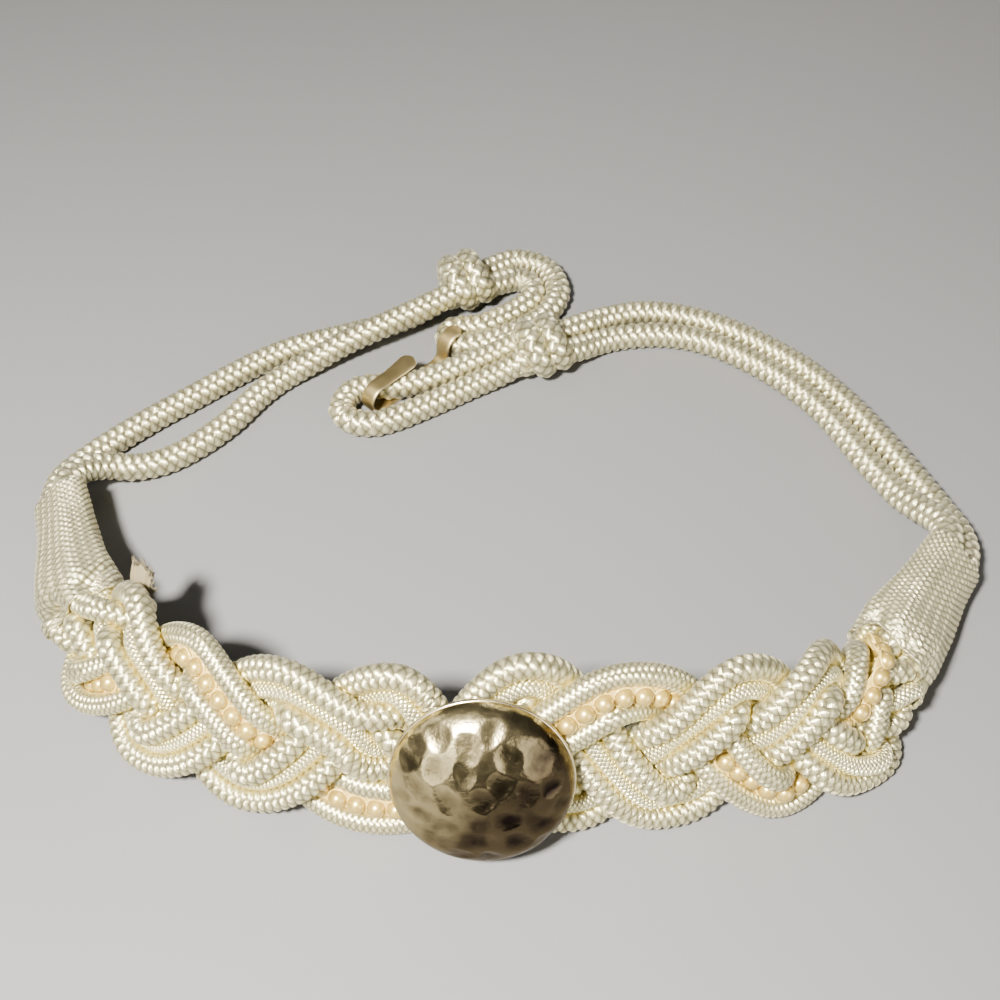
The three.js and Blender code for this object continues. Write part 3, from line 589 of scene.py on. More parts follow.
def add_object(name, data):
    """A new object in the scene."""
    made = bpy.data.objects.new(name, data)
    bpy.context.collection.objects.link(made)
    return made


def make_camera():
    """The scene's camera, at the photograph's angle."""
    data = bpy.data.cameras.new("camera")
    data.lens = CAMERA_LENS
    data.sensor_width = CAMERA_SENSOR
    data.clip_start = 0.01
    camera = add_object("camera", data)
    camera.location = CAMERA_AT
    camera.rotation_euler = (math.radians(90 - CAMERA_DOWN), 0, 0)
    bpy.context.scene.camera = camera


def band_value(station, column):
    """One column of the band's rows at the stations."""
    return np.interp(station, BAND[:, 0], BAND[:, column])


def walk_band():
    """The band's line on the floor, from end to end."""
    stations = np.arange(-BAND_END, BAND_END + BAND_STEP / 2, BAND_STEP)
    heading = np.radians(band_value((stations[1:] + stations[:-1]) / 2, HEADING))
    x = running_sum(BAND_STEP * np.cos(heading))
    y = running_sum(BAND_STEP * np.sin(heading))
    middle = len(stations) // 2
    return stations, x - x[middle] + FRONT[0], y - y[middle] + FRONT[1]


BAND_LINE = walk_band()


def band_frame(station):
    """The band's middle at the stations, with its directions along, up and out."""
    station = np.asarray(station, float)
    stations, line_x, line_y = BAND_LINE
    heading = np.radians(band_value(station, HEADING))
    lean = np.radians(band_value(station, LEAN))[..., None]
    half = BAND_HALF * (BAND_GATHERED + (1 - BAND_GATHERED) * band_value(station, GATHER))
    flat = np.zeros_like(heading)
    along = np.stack([np.cos(heading), np.sin(heading), flat], -1)
    side = np.stack([np.sin(heading), -np.cos(heading), flat], -1)
    high = half * np.cos(lean[..., 0]) + BAND_RISE * np.sin(lean[..., 0])
    middle = np.stack([np.interp(station, stations, line_x), np.interp(station, stations, line_y), high], -1)
    up = UP * np.cos(lean) - side * np.sin(lean)
    out = side * np.cos(lean) + UP * np.sin(lean)
    return middle, along, up, out


def place(station, rise, depth):
    """The points at the stations, so far up the band and so far out of it."""
    middle, _, up, out = band_frame(station)
    return middle + np.asarray(rise)[..., None] * up + np.asarray(depth)[..., None] * out


def strand_at(strand, station):
    """How far up and out a strand's middle runs at the stations, and the side that it is on."""
    rows = np.array(TURNS[strand])
    k = np.searchsorted(rows[1:-1, 0], station, side="right")
    share = (station - rows[k, 0]) / (rows[k + 1, 0] - rows[k, 0])
    side = rows[k, 1] + (rows[k + 1, 1] - rows[k, 1]) * (1 - np.cos(np.pi * share)) / 2
    rise = SWING * band_value(station, GATHER) * side
    return rise, WEAVE * np.sin(np.pi * rows[k, 2] * share), side


def start_of_cord(strand, side):
    """A cord's stations and points before it settles: beside its strand's middle line."""
    station = np.arange(BRAID_LEFT, BRAID_RIGHT + 1e-9, SAMPLE)
    rise, depth, _ = strand_at(strand, station)
    slope = (strand_at(strand, station + 1)[0] - strand_at(strand, station - 1)[0]) / 2
    aside = side * SPREAD[strand] / np.hypot(1, slope)
    at = station - aside * slope
    return at, place(at, rise + aside, depth)


def sleeve_size(rows, station):
    """A sleeve's inner half height and inner half thickness at the stations."""
    rows = rows[np.argsort(rows[:, 0])]
    return np.interp(station, rows[:, 0], rows[:, 1]), np.interp(station, rows[:, 0], rows[:, 2])


def sleeve_room(station):
    """The half height and half thickness that a sleeve leaves at the stations, and where it has a say."""
    half = np.ones_like(station)
    thick = np.ones_like(station)
    inside = np.zeros(station.shape, bool)
    for rows in SLEEVES.values():
        within = np.sign(rows[0, 0]) * (station - rows[0, 0])
        here = (within >= -MOUTH_REACH) & ~inside
        flare = MOUTH_FLARE * np.maximum(0, -within - MOUTH_LIP)
        inner_half, inner_thick = sleeve_size(rows, station)
        half[here] = (inner_half + flare)[here]
        thick[here] = (inner_thick + flare)[here]
        inside |= here
    return half, thick, inside


def keep_in_sleeves(spots, radius, station, start, near_sleeve):
    """The points of the cords, moved back inside the sleeves and the funnels in front of them."""
    middle, along, _, _ = start
    slid = station + ((spots - middle) * along).sum(-1)
    half, thick, inside = sleeve_room(slid)
    centre, _, up, out = band_frame(slid)
    apart = spots - centre
    rise = (apart * up).sum(-1)
    depth = (apart * out).sum(-1)
    margin = radius + SLEEVE_MARGIN
    over = np.hypot(rise / (half - margin), depth / (thick - margin))
    outside = near_sleeve & inside & (over > 1)
    back = np.where(outside, 1 / np.maximum(over, 1), 1) - 1
    return spots + (rise * back)[:, None] * up + (depth * back)[:, None] * out


def smooth_cords(cords, share):
    """Each cord's middle points, smoothed by a share without shortening its waves much."""
    mean = cords.copy()
    mean[:, 1:-1] = (cords[:, :-2] + 2 * cords[:, 1:-1] + cords[:, 2:]) / 4
    mean[:, 2:-2] = (-cords[:, :-4] + 4 * cords[:, 1:-3] + 10 * cords[:, 2:-2] + 4 * cords[:, 3:-1]
                     - cords[:, 4:]) / 16
    return cords + share * (mean - cords)


def settle():
    """The braid's cords, pushed apart, pressed flat and smoothed until they lie against each other."""
    starts = [start_of_cord(strand, side) for _, strand, _, side in BRAID]
    station = np.concatenate([at for at, _ in starts])
    spots = np.concatenate([points for _, points in starts])
    count = len(starts[0][0])
    radius = np.repeat([row[2] for row in BRAID], count)
    owner = np.repeat(np.arange(len(BRAID)), count)
    home = spots.copy()
    start = band_frame(station)
    near_sleeve = sleeve_room(station)[2]
    near = np.linalg.norm(spots[:, None] - spots[None], axis=-1) < SETTLE_REACH
    one, two = np.nonzero(np.triu(near & (owner[:, None] != owner[None, :]), 1))
    need = radius[one] + radius[two] + CORD_GAP
    for round_number in range(SETTLE_ROUNDS):
        late = round_number > SETTLE_ROUNDS * SETTLE_LATE
        apart = spots[two] - spots[one]
        distance = np.linalg.norm(apart, axis=-1)
        hit = distance < need
        push = (LATE_PUSH if late else EARLY_PUSH) * (need - distance)[hit] / 2 / distance[hit]
        push = apart[hit] * push[:, None]
        move = np.zeros_like(spots)
        hits = np.zeros(len(spots))
        for side, way in ((one, -push), (two, push)):
            np.add.at(move, side[hit], way)
            np.add.at(hits, side[hit], 1)
        spots = spots + move * (SETTLE_MOVE / np.maximum(1, hits))[:, None]
        if not late:
            depth = ((spots - start[0]) * start[3]).sum(-1)
            spots = spots - SETTLE_PRESS * depth[:, None] * start[3]
            spots = spots + SETTLE_HOME * (home - spots)
        cords = smooth_cords(spots.reshape(len(BRAID), count, 3), LATE_SMOOTH if late else EARLY_SMOOTH)
        spots = keep_in_sleeves(cords.reshape(-1, 3), radius, station, start, near_sleeve)
        spots[:, 2] = np.maximum(spots[:, 2], radius)
    return spots.reshape(len(BRAID), count, 3)


def weave(around, along, bundles, pitch):
    """The height of a round plain braid, from 0 in its seams to 1 on its stitches.

    around goes from 0 to 1 round the cord and along is in millimetres. Bundles run each way, and each of
    their crossings shows one stitch.
    """
    rising = bundles * around + along / pitch
    falling = bundles * around - along / pitch
    over = (np.floor(rising) + np.floor(falling)) % 2 < 0.5
    one = 2 * (rising % 1) - 1
    two = 2 * (falling % 1) - 1
    across = np.where(over, one, two)
    lengthwise = np.where(over, two, one)
    return np.sqrt((1 - across ** 2) * (1 - lengthwise ** 4))


def sweep(line, facing, sides, radius):
    """Rings of points round a line. facing is the direction of side 0, and radius a row for each ring."""
    _, normal, across = line_frame(line, facing)
    return line[:, None] + radius[..., None] * circle(full_turn(sides), normal[:, None], across[:, None])


def skin(name, rings, material, along=None, closed=False, values=None):
    """A piece whose surface joins rings of points, in millimetres.

    The corners' UV is the share round the ring and along, each ring's place on the line. Open ends are
    capped. values are numbers for each point, kept as attributes of the mesh. What would reach below the
    floor is pressed flat on it.
    """
    count, sides = rings.shape[:2]
    rings = rings.copy()
    rings[..., 2] = np.maximum(rings[..., 2], 0)
    bands = count if closed else count - 1
    faces = np.stack(np.meshgrid(np.arange(bands), np.arange(sides), indexing="ij"), -1)
    grid = (faces[:, :, None] + np.array([(0, 0), (0, 1), (1, 1), (1, 0)])).reshape(-1, 2)
    corners = (grid[:, 0] % count) * sides + grid[:, 1] % sides
    starts = np.arange(bands * sides) * 4
    along = np.arange(count, dtype=float) if along is None else along
    if closed:
        along = np.append(along, 2 * along[-1] - along[-2])
    uv = np.stack([grid[:, 1] / sides, along[grid[:, 0]]], -1)
    if not closed:
        caps = np.concatenate([np.arange(sides)[::-1], (count - 1) * sides + np.arange(sides)])
        starts = np.concatenate([starts, [len(corners), len(corners) + sides]])
        cap_uv = np.stack([(caps % sides) / sides, along[caps // sides]], -1)
        corners = np.concatenate([corners, caps])
        uv = np.concatenate([uv, cap_uv])
    mesh = bpy.data.meshes.new(name)
    mesh.vertices.add(count * sides)
    mesh.vertices.foreach_set("co", ((rings.reshape(-1, 3) + BELT_AT) * MM).astype(np.float32).ravel())
    mesh.loops.add(len(corners))
    mesh.loops.foreach_set("vertex_index", corners.astype(np.int32))
    mesh.polygons.add(len(starts))
    mesh.polygons.foreach_set("loop_start", starts.astype(np.int32))
    layer = mesh.uv_layers.new(name="weave")
    layer.data.foreach_set("uv", uv.astype(np.float32).ravel())
    mesh.update(calc_edges=True)
    mesh.shade_smooth()
    for key, numbers in (values or {}).items():
        attribute = mesh.attributes.new(key, "FLOAT", "POINT")
        attribute.data.foreach_set("value", np.asarray(numbers, np.float32).ravel())
    mesh.materials.append(material)
    piece = add_object(name, mesh)
    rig.ride(piece, "root")
    return piece


def torus(name, centre, first, second, size, sides, material):
    """A closed ring in the plane of two directions. size is its radius, its tube's and the tube's height."""
    ring, tube, tall = size
    way = circle(full_turn(sides[0]), first, second)
    angle = full_turn(sides[1])
    rings = centre + way[:, None] * (ring + tube * np.cos(angle))[None, :, None] \
        - np.cross(first, second) * (tall * np.sin(angle))[None, :, None]
    return skin(name, rings, material, closed=True)


def join(name, pieces):
    """One piece made of several."""
    with bpy.context.temp_override(active_object=pieces[0], selected_editable_objects=pieces):
        bpy.ops.object.join()
    pieces[0].name = name
    return pieces[0]


def stand_for(piece, node, slot):
    """Says which solid a piece replaces, and the slot of its material."""
    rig.replaces(piece, node)
    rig.slot(piece, slot)
    return piece


class Tree:
    """The node tree of a material or of the world, and short calls that add its nodes."""

    def __init__(self, owner):
        owner.use_nodes = True
        self.tree = owner.node_tree

    def feed(self, socket, value):
        """Puts a number, a colour or another node's output into a socket."""
        if isinstance(value, (int, float, tuple)):
            socket.default_value = value
        else:
            self.tree.links.new(value, socket)

    def node(self, kind, sockets=None, **settings):
        """The outputs of a new node with these settings and these sockets."""
        node = self.tree.nodes.new("ShaderNode" + kind)
        for key, value in settings.items():
            setattr(node, key, value)
        for key, value in (sockets or {}).items():
            self.feed(node.inputs[key], value)
        return node.outputs

    def calc(self, operation, first, second=0.0):
        """The result of an operation on one or two numbers."""
        return self.node("Math", {0: first, 1: second}, operation=operation)[0]

    def vector(self, operation, sockets):
        """The result of an operation on vectors."""
        return self.node("VectorMath", sockets, operation=operation)[0]

    def blend(self, share, low, high, kind="RGBA"):
        """A colour between two, by a share, or a number where the kind is FLOAT."""
        return self.node("Mix", {"Factor": share, "A": low, "B": high}, data_type=kind)["Result"]

    def between(self, value, low=0.0, high=1.0, source=(0.0, 1.0)):
        """A number from low to high, as the value goes from one end of its source to the other."""
        ends = {"From Min": source[0], "From Max": source[1], "To Min": low, "To Max": high}
        return self.node("MapRange", {"Value": value, **ends})["Result"]

    def noise(self, waves, detail=2.0, stretch=(1, 1, 1), space="Object"):
        """Noise in waves to the metre."""
        spot = self.node("Mapping", {"Vector": self.node("TexCoord")[space], "Scale": stretch})
        return self.node("TexNoise", {"Vector": spot[0], "Scale": waves, "Detail": detail})["Fac"]

    def patches(self, waves, detail, size):
        """Noise about nothing, from half of the size below it to half above."""
        return self.calc("MULTIPLY", self.calc("SUBTRACT", self.noise(waves, detail), 0.5), size)


class Finish(Tree):
    """A material. Its name is followed by the values of its shader's sockets."""

    def __init__(self, name, **sockets):
        self.material = bpy.data.materials.new(name)
        super().__init__(self.material)
        self.shader = self.tree.nodes["Principled BSDF"].inputs
        for key, value in sockets.items():
            self.shader[key.replace("_", " ").title().replace("Ior", "IOR")].default_value = value

    def wear(self, colour, roughness=None):
        """Puts a colour on the shader, and a roughness where it varies."""
        self.feed(self.shader["Base Color"], colour)
        if roughness is not None:
            self.feed(self.shader["Roughness"], roughness)

    def value(self, name):
        """A number that the mesh carries for each point."""
        return self.node("Attribute", attribute_name=name)["Fac"]

    def weave(self, bundles, pitch, threads):
        """A plain braid, as in the function weave.

        Gives its height, the ridges of its threads, and 1 where the bundles of one way lie on top.
        """
        calc = self.calc
        place_on_cord = self.node("SeparateXYZ", {0: self.node("UVMap", uv_map="weave")[0]})
        around = calc("MULTIPLY", place_on_cord["X"], float(bundles))
        along = calc("DIVIDE", place_on_cord["Y"], pitch)
        rising = calc("ADD", around, along)
        falling = calc("SUBTRACT", around, along)
        floors = calc("ADD", calc("FLOOR", rising), calc("FLOOR", falling))
        over = calc("LESS_THAN", calc("FLOORED_MODULO", floors, 2.0), 0.5)
        one, two = (calc("SUBTRACT", calc("MULTIPLY", calc("FRACT", number), 2.0), 1.0)
                    for number in (rising, falling))
        across = self.blend(over, two, one, "FLOAT")
        lengthwise = self.blend(over, one, two, "FLOAT")
        sides, ends = (calc("SUBTRACT", 1.0, calc("POWER", calc("ABSOLUTE", number), power))
                       for number, power in ((across, 2.0), (lengthwise, 4.0)))
        height = calc("SQRT", calc("MULTIPLY", sides, ends))
        lines = calc("SINE", calc("MULTIPLY", across, math.pi * threads))
        return height, calc("ADD", calc("MULTIPLY", lines, 0.5), 0.5), over

    def stretch_gloss(self, over, slope):
        """Turns the gloss across the threads. slope is how far they run round the cord to one along it."""
        tangent = self.node("Tangent", direction_type="UV_MAP", uv_map="weave")[0]
        normal = self.node("NewGeometry")["Normal"]
        along = self.vector("CROSS_PRODUCT", {0: normal, 1: tangent})
        along = self.vector("SCALE", {0: along, "Scale": self.between(over, -slope, slope)})
        turned = self.vector("ADD", {0: tangent, 1: along})
        self.feed(self.shader["Tangent"], self.vector("NORMALIZE", {0: turned}))

    def bump(self, height, distance, strength=1.0, under=None):
        """Raises the surface by a height, over another bump if there is one."""
        sockets = {"Distance": distance, "Strength": strength, "Height": height}
        if under is not None:
            sockets["Normal"] = under
        raised = self.node("Bump", sockets)["Normal"]
        self.feed(self.shader["Normal"], raised)
        return raised


def cloth_finish(name, light, kind):
    """Satin or braided thread: a weave in relief, with painted shade in its seams and painted yellow shade and bounce
    light where cords press together.
    """
    finish = Finish(name, metallic=0.86, roughness=SATIN_ROUGH, specular_ior_level=0.6, anisotropic=0.8,
                    sheen_weight=0.06, sheen_roughness=0.4)
    height, lines, over = finish.weave(kind.bundles, kind.pitch, kind.threads)
    # Painted shade, darkest in the seams between stitches, mottled at random.
    seam = finish.calc("POWER", finish.calc("SUBTRACT", 1.0, height), kind.seam)
    colour = finish.blend(finish.calc("ADD", seam, finish.patches(160, 3, 0.3)), light, SEAM_SHADE)
    # Painted yellow shade and bounce light where other cords lie close.
    finish.wear(finish.blend(finish.value("pressed"), colour, CREVICE_SHADE),
                finish.between(lines, SATIN_ROUGH - 0.06, SATIN_ROUGH + 0.08))
    finish.stretch_gloss(over, GLOSS_SLOPE)
    under = finish.bump(lines, kind.thread)
    if kind.bump:
        finish.bump(height, kind.bump, under=under)
    return finish.material


def mottled_finish(name, waves, detail, colours, grain=None, **sockets):
    """One colour that wanders into another. grain is the waves, height and strength of a fine bump."""
    finish = Finish(name, **sockets)
    finish.wear(finish.blend(finish.noise(waves, detail), *colours))
    if grain:
        finish.bump(finish.noise(grain[0]), *grain[1:])
    return finish.material


def pearl_finish():
    """Cream pearl with a clear gloss, and painted shade that darkens it towards its rim as the camera sees it."""
    finish = Finish("pearl_gloss", roughness=0.33, metallic=0.6, coat_weight=1.0, coat_roughness=0.18,
                    coat_ior=1.8, specular_ior_level=0.6)
    # Painted shade: darker towards the rim as the camera sees it.
    edge = finish.node("LayerWeight", {"Blend": 0.35})["Facing"]
    finish.wear(finish.blend(edge, finish.blend(finish.noise(70), *CREAM), PEARL_RIM_SHADE))
    finish.bump(finish.noise(900), 0.00003, 0.4)
    return finish.material


def film_finish():
    """The peach thread and rings between the pearls."""
    return mottled_finish("peach_film", 300, 2, FILM, (1500, 0.00005, 0.6), roughness=0.3, coat_weight=0.4,
                          coat_roughness=0.15)


def dome_finish():
    """Hammered champagne metal with fine scratches: painted shade darkens its dents, and a painted dark reflection
    darkens its lower right.
    """
    finish = Finish("hammered_champagne", metallic=1.0, roughness=0.16, specular_tint=DOME_TINT)
    dent = finish.value("dent")
    speckle = finish.patches(240, 3, 1.6)
    # Painted shade, darker in the dents, with random speckle.
    metal = finish.blend(finish.calc("ADD", finish.calc("MULTIPLY", dent, 0.7), speckle), *CHAMPAGNE_AND_DENT_SHADE)
    # Painted dark reflection, darker still in the dents.
    brown = finish.blend(finish.calc("ADD", dent, speckle), *DARK_REFLECTION)
    # Where the painted dark reflection lies: the dome's lower right, with random patches.
    low = finish.calc("ADD", finish.value("foot"), finish.patches(60, 4, 0.8))
    finish.wear(finish.blend(low, metal, brown), finish.between(finish.noise(220, 4), 0.14, 0.34))
    under = finish.bump(finish.noise(260, 3), 0.0004, 0.7)
    finish.bump(finish.noise(1600, 2, (1, 0.2, 1)), 0.00003, 0.4, under)
    return finish.material


def rim_finish():
    """The dome's rolled rim, in a lighter metal."""
    return mottled_finish("dome_rim_metal", 200, 3, RIM, (900, 0.00004, 0.5), metallic=1.0, roughness=0.25)


def hook_finish():
    """Matt gold strip with fine rolling lines and worn edges."""
    finish = Finish("matt_gold", metallic=1.0, roughness=0.42)
    lines = finish.noise(260, 3, (1, 1, 9))
    colour = finish.blend(finish.noise(90, 4), *GOLD)
    finish.wear(finish.blend(finish.value("edge"), colour, WORN_GOLD), finish.between(lines, 0.32, 0.52))
    finish.bump(lines, 0.00005, 0.5)
    return finish.material


def tape_finish():
    """Matt tape of a fine plain weave, with painted shade in the gaps between its threads."""
    finish = Finish("tape_cloth", roughness=0.8, sheen_weight=0.08, sheen_roughness=0.5)
    height, lines, _ = finish.weave(*TAPE_WEAVE)
    # Painted shade, darker in the weave's hollows.
    finish.wear(finish.blend(height, *TAPE_AND_WEAVE_SHADE))
    under = finish.bump(lines, 0.00004, 0.6)
    finish.bump(height, 0.00015, 0.8, under)
    return finish.material


def floor_finish():
    """Pale matt ground."""
    return mottled_finish("pale_floor", 3, 2, FLOOR, roughness=0.7)


def crevice_shade_near(points, own, lines, radii):
    """From 0 to 1, how near each point lies to the surface of another cord: the mask of the painted yellow crevice
    shade.
    """
    found = np.full(len(points), CREVICE_SHADE_REACH)
    for other, (line, radius) in enumerate(zip(lines, radii)):
        if other == own:
            continue
        tree = KDTree(len(line))
        for k, spot in enumerate(line):
            tree.insert(spot, k)
        tree.balance()
        reach = radius + CREVICE_SHADE_REACH
        near = ((points > line.min(0) - reach) & (points < line.max(0) + reach)).all(-1)
        for k in np.nonzero(near)[0]:
            found[k] = min(found[k], tree.find(points[k])[2] - radius)
    return np.clip(1 - found / CREVICE_SHADE_REACH, 0, 1)


def crest_fade(strand, line):
    """How much of a thick cord's relief shows along its line: less where it turns at the top."""
    side = strand_at(strand, np.linspace(BRAID_LEFT, BRAID_RIGHT, len(line)))[2]
    return 1 - (1 - SMOOTH_CREST) * np.clip((side - CREST_FROM) / CREST_FROM, 0, 1)[:, None]


def facing_out(line):
    """The band's outward direction beside each point of a line."""
    middle, _, _, out = band_frame(np.linspace(BRAID_LEFT, BRAID_RIGHT, FACING_SPOTS))
    nearest = np.linalg.norm(line[:, None, :2] - middle[None, :, :2], axis=-1).argmin(1)
    return unit(np.stack([eased(column, np.ones(WINDOW)) for column in out[nearest].T], -1))


def lift_clear(line, own, lines, lift, step):
    """A line moved out of the plait where no other cord lies over it."""
    out = facing_out(line)
    free = np.ones(len(line))
    for other, points in enumerate(lines):
        if other == own:
            continue
        apart = points[None] - line[:, None]
        above = (apart * out[:, None]).sum(-1)
        beside = np.linalg.norm(apart - above[..., None] * out[:, None], axis=-1)
        free[((above > LIFT_ABOVE) & (beside < LIFT_BESIDE)).any(1)] = 0
    window = np.hanning(2 * round(LIFT_EASE / step) + 3)[1:-1]
    return line + lift * eased(free, window)[:, None] * out


def woven_cord(name, line, facing, radius, kind, material, fade=1.0, pressed=None):
    """A cord whose mesh has the relief of its braid, so far as its kind of weave has any.

    fade is the share of the relief that shows, and pressed tells how near points lie to other cords, as the mask of
    the painted crevice shade.
    """
    along = way_along(line)
    height = weave(np.arange(kind.sides) / kind.sides, along[:, None], kind.bundles, kind.pitch)
    rings = sweep(line, facing, kind.sides, radius - kind.depth * fade * (1 - height))
    # How near points lie to other cords: the mask of the painted crevice shade.
    near = np.zeros(rings.shape[:2]) if pressed is None else pressed(rings.reshape(-1, 3))
    return skin(name, rings, material, along, values={"pressed": near})


def make_braid():
    """The plait's nine cords. Gives their middle lines and radii."""
    cords = settle()
    finishes = {
        THICK_R: cloth_finish("satin_braid", SATIN, THICK_WEAVE),
        FINE_R: cloth_finish("fine_satin_braid", SATIN, FINE_WEAVE),
        THIN_R: cloth_finish("ribbed_braid", SATIN, RIB_WEAVE),
    }
    coarse = [smooth_line(points, COARSE_STEP) for points in cords]
    radii = [row[2] for row in BRAID]
    for number, (name, strand, radius, _) in enumerate(BRAID):
        if name == "pearl_string":
            line = smooth_line(cords[number], PEARL_STEP)
            make_pearls(lift_clear(line, number, coarse, PEARL_LIFT, PEARL_STEP))
            continue
        kind = WEAVES[radius]
        line = smooth_line(cords[number], kind.step)
        if radius == THIN_R:
            right = np.clip(np.linspace(BRAID_LEFT, BRAID_RIGHT, len(line)) / RIB_LIFT_RISE, 0, 1)
            line = lift_clear(line, number, coarse, RIB_LIFT * right[:, None], kind.step)
        fade = crest_fade(strand, line) if radius == THICK_R else 1.0
        piece = woven_cord(name + "_satin", line, facing_out(line), radius + SWELLS[radius], kind,
                           finishes[radius], fade, lambda points: crevice_shade_near(points, number, coarse, radii))
        stand_for(piece, name, "ribbed_cord" if radius == THIN_R else "satin_cord")
    return coarse, radii


def pearl(centre, axis, material):
    """A pearl, with its holes along axis."""
    share = np.linspace(PEARL_HOLE, 1 - PEARL_HOLE, PEARL_RINGS) * np.pi
    radius = PEARL_R + PEARL_SWELL
    line = centre - axis * (radius * np.cos(share))[:, None]
    rings = sweep(line, np.cross(axis, UP), PEARL_SIDES, (radius * np.sin(share))[:, None])
    return skin("pearl", rings, material)


def collar(centre, axis, material):
    """The thin peach ring round a pearl, across axis."""
    facing = unit(np.cross(axis, COLLAR_START))
    size = (COLLAR_R, COLLAR_TUBE, COLLAR_TUBE)
    return torus("collar", centre, facing, np.cross(axis, facing), size, COLLAR_SIDES, material)


def make_pearls(line):
    """The pearls on their thread, with a thin ring round each."""
    gloss = pearl_finish()
    film = film_finish()
    way = way_along(line)
    count = int(way[-1] // PEARL_PITCH)
    tangents, facing, side = line_frame(line, facing_out(line))
    spots = (np.arange(count) + 0.5) * way[-1] / count
    centres, axes, outward = (rows_at(spots, way, rows) for rows in (line, tangents, facing))
    string = join("pearls", [pearl(centre, axis, gloss) for centre, axis in zip(centres, unit(axes))])
    stand_for(string, "pearl_string", "pearl_bead")
    angle = full_turn(FILM_SIDES)
    wave = 1 + FILM_WAVE * np.cos(2 * np.pi * way * count / way[-1])
    rings = (line - FILM_BEHIND * facing)[:, None] \
        + (FILM_THICK * np.cos(angle))[None, :, None] * facing[:, None] \
        + (FILM_HALF * wave[:, None] * np.sin(angle))[..., None] * side[:, None]
    band = skin("pearl_film", rings[::2], film, way[::2])
    collars = [collar(centre - COLLAR_BEHIND * out, out, film) for centre, out in zip(centres, unit(outward))]
    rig.slot(join("pearl_collars", [band, *collars]), "pearl_bead")


def hug_size(station, angle, lines, radii):
    """How far from the band's middle the cords reach at the stations, in the given directions."""
    found = np.zeros(angle.shape)
    bearings = full_turn(HUG_BEARINGS)
    for k, at in enumerate(station):
        middle, along, up, out = band_frame(at)
        way = circle(bearings, out, up)
        reach = np.zeros(len(bearings))
        for line, radius in zip(lines, radii):
            apart = line - middle
            near = apart[np.abs((apart * along).sum(-1)) < HUG_LAYER]
            if not len(near):
                continue
            ahead = near @ way.T
            aside = np.linalg.norm(near[:, None] - ahead[..., None] * way[None], axis=-1)
            surface = ahead + np.sqrt(np.maximum(0, radius ** 2 - aside ** 2))
            reach = np.maximum(reach, np.where((aside < radius) & (ahead > 0), surface, 0).max(0))
        if reach.max():
            reach = np.maximum(reach, eased(reach, np.hanning(WINDOW), "wrap"))
            found[k] = np.interp(angle[k] % (2 * np.pi), bearings, reach, period=2 * np.pi)
    return found


def sleeve_grid(name, wall, station, lines, radii):
    """Rings of a sleeve at the stations, wall outside its inner size, with soft ridges over its cords.

    At the mouth the sleeve is drawn in round the cords.
    """
    rows = SLEEVES[name]
    half, thick = sleeve_size(rows, station)
    off = np.abs(station - rows[0, 0])
    lean = MOUTH_SLANT[name] * np.clip(1 - off / abs(rows[2, 0] - rows[0, 0]), 0, 1)
    end = (off / abs(rows[-1, 0] - rows[0, 0]))[:, None]
    angle = full_turn(SLEEVE_WEAVE.sides)[None]
    swell = RIDGE * (1 - RIDGE_FADE * end) * np.cos(RIDGES * angle + RIDGE_TWIST * end)
    swell = swell + RIDGE * RIPPLE * np.sin(RIPPLE_WAVES[0] * end + RIPPLE_WAVES[1] * angle)
    pinch = TIP_PINCH * end ** 3 * np.abs(np.cos(angle)) ** 6
    rise = (half[:, None] + wall + swell) * np.sin(angle)
    depth = (thick[:, None] + wall + swell - pinch) * np.cos(angle)
    hug = hug_size(station, np.arctan2(rise, depth), lines, radii)
    full = np.hypot(rise, depth)
    share = np.clip(1 - off / HUG_REACH, 0, 1)[:, None]
    share = share * share * (3 - 2 * share) * (hug > 0)
    drawn = np.minimum(full, hug + HUG_GAP + wall)
    size = (full + share * (drawn - full)) / full
    return place(station[:, None] + lean[:, None] * np.sin(angle), rise * size, depth * size)


def make_sleeve(name, material, lines, radii):
    """A woven sleeve: its outside in relief, the hem of its mouth and a plain lining."""
    mouth, tip = SLEEVES[name][0, 0], SLEEVES[name][-1, 0]
    station, lining = (np.linspace(mouth, tip, int(abs(tip - mouth) / step) + 1)
                       for step in (SLEEVE_WEAVE.step, LINING_STEP))

    def grid(wall, at):
        """This sleeve's rings, wall outside its inner size."""
        return sleeve_grid(name, wall, at, lines, radii)

    lips = [grid(LINING_OUT + (SLEEVE_WALL - LINING_OUT) * share, station[:1] - np.sign(mouth) * out * HEM)
            for share, out in HEM_CURVE]
    outer = grid(SLEEVE_WALL + SLEEVE_SWELL, station)
    off = np.abs(station - mouth)
    around = np.arange(SLEEVE_WEAVE.sides) / SLEEVE_WEAVE.sides
    height = weave(around, off[:, None], SLEEVE_WEAVE.bundles, SLEEVE_WEAVE.pitch)
    inward = -unit(outer - band_frame(station)[0][:, None])
    outer = outer + (SLEEVE_WEAVE.depth * (1 - height))[..., None] * inward
    rings = np.concatenate([outer[::-1], *lips[::-1], grid(LINING_OUT, lining)])
    if mouth < 0:
        rings = rings[:, ::-1]
    along = np.concatenate([off[::-1], np.full(len(HEM_CURVE), -HEM), -HEM - np.arange(len(lining))])
    # The sleeves carry none of the painted crevice shade.
    piece = skin(name + "_woven", rings, material, along, closed=True,
                 values={"pressed": np.zeros(rings.shape[:2])})
    stand_for(piece, name, "woven_cord")


def make_sleeves(lines, radii):
    """The woven sleeves that gather the braid's ends."""
    woven = cloth_finish("woven_sleeve", WOVEN, SLEEVE_WEAVE)
    for name in SLEEVES:
        make_sleeve(name, woven, lines, radii)


def tie_route(stations, side, table):
    """A tie's points: out of the sleeve at the stations of its exit, then along its table."""
    return np.array([*(place(station, side * TIE_ASIDE, 0.0) for station in stations), *table])


def in_row_frame(points):
    return [tuple(point) for point in (points + BELT_AT) * MM]


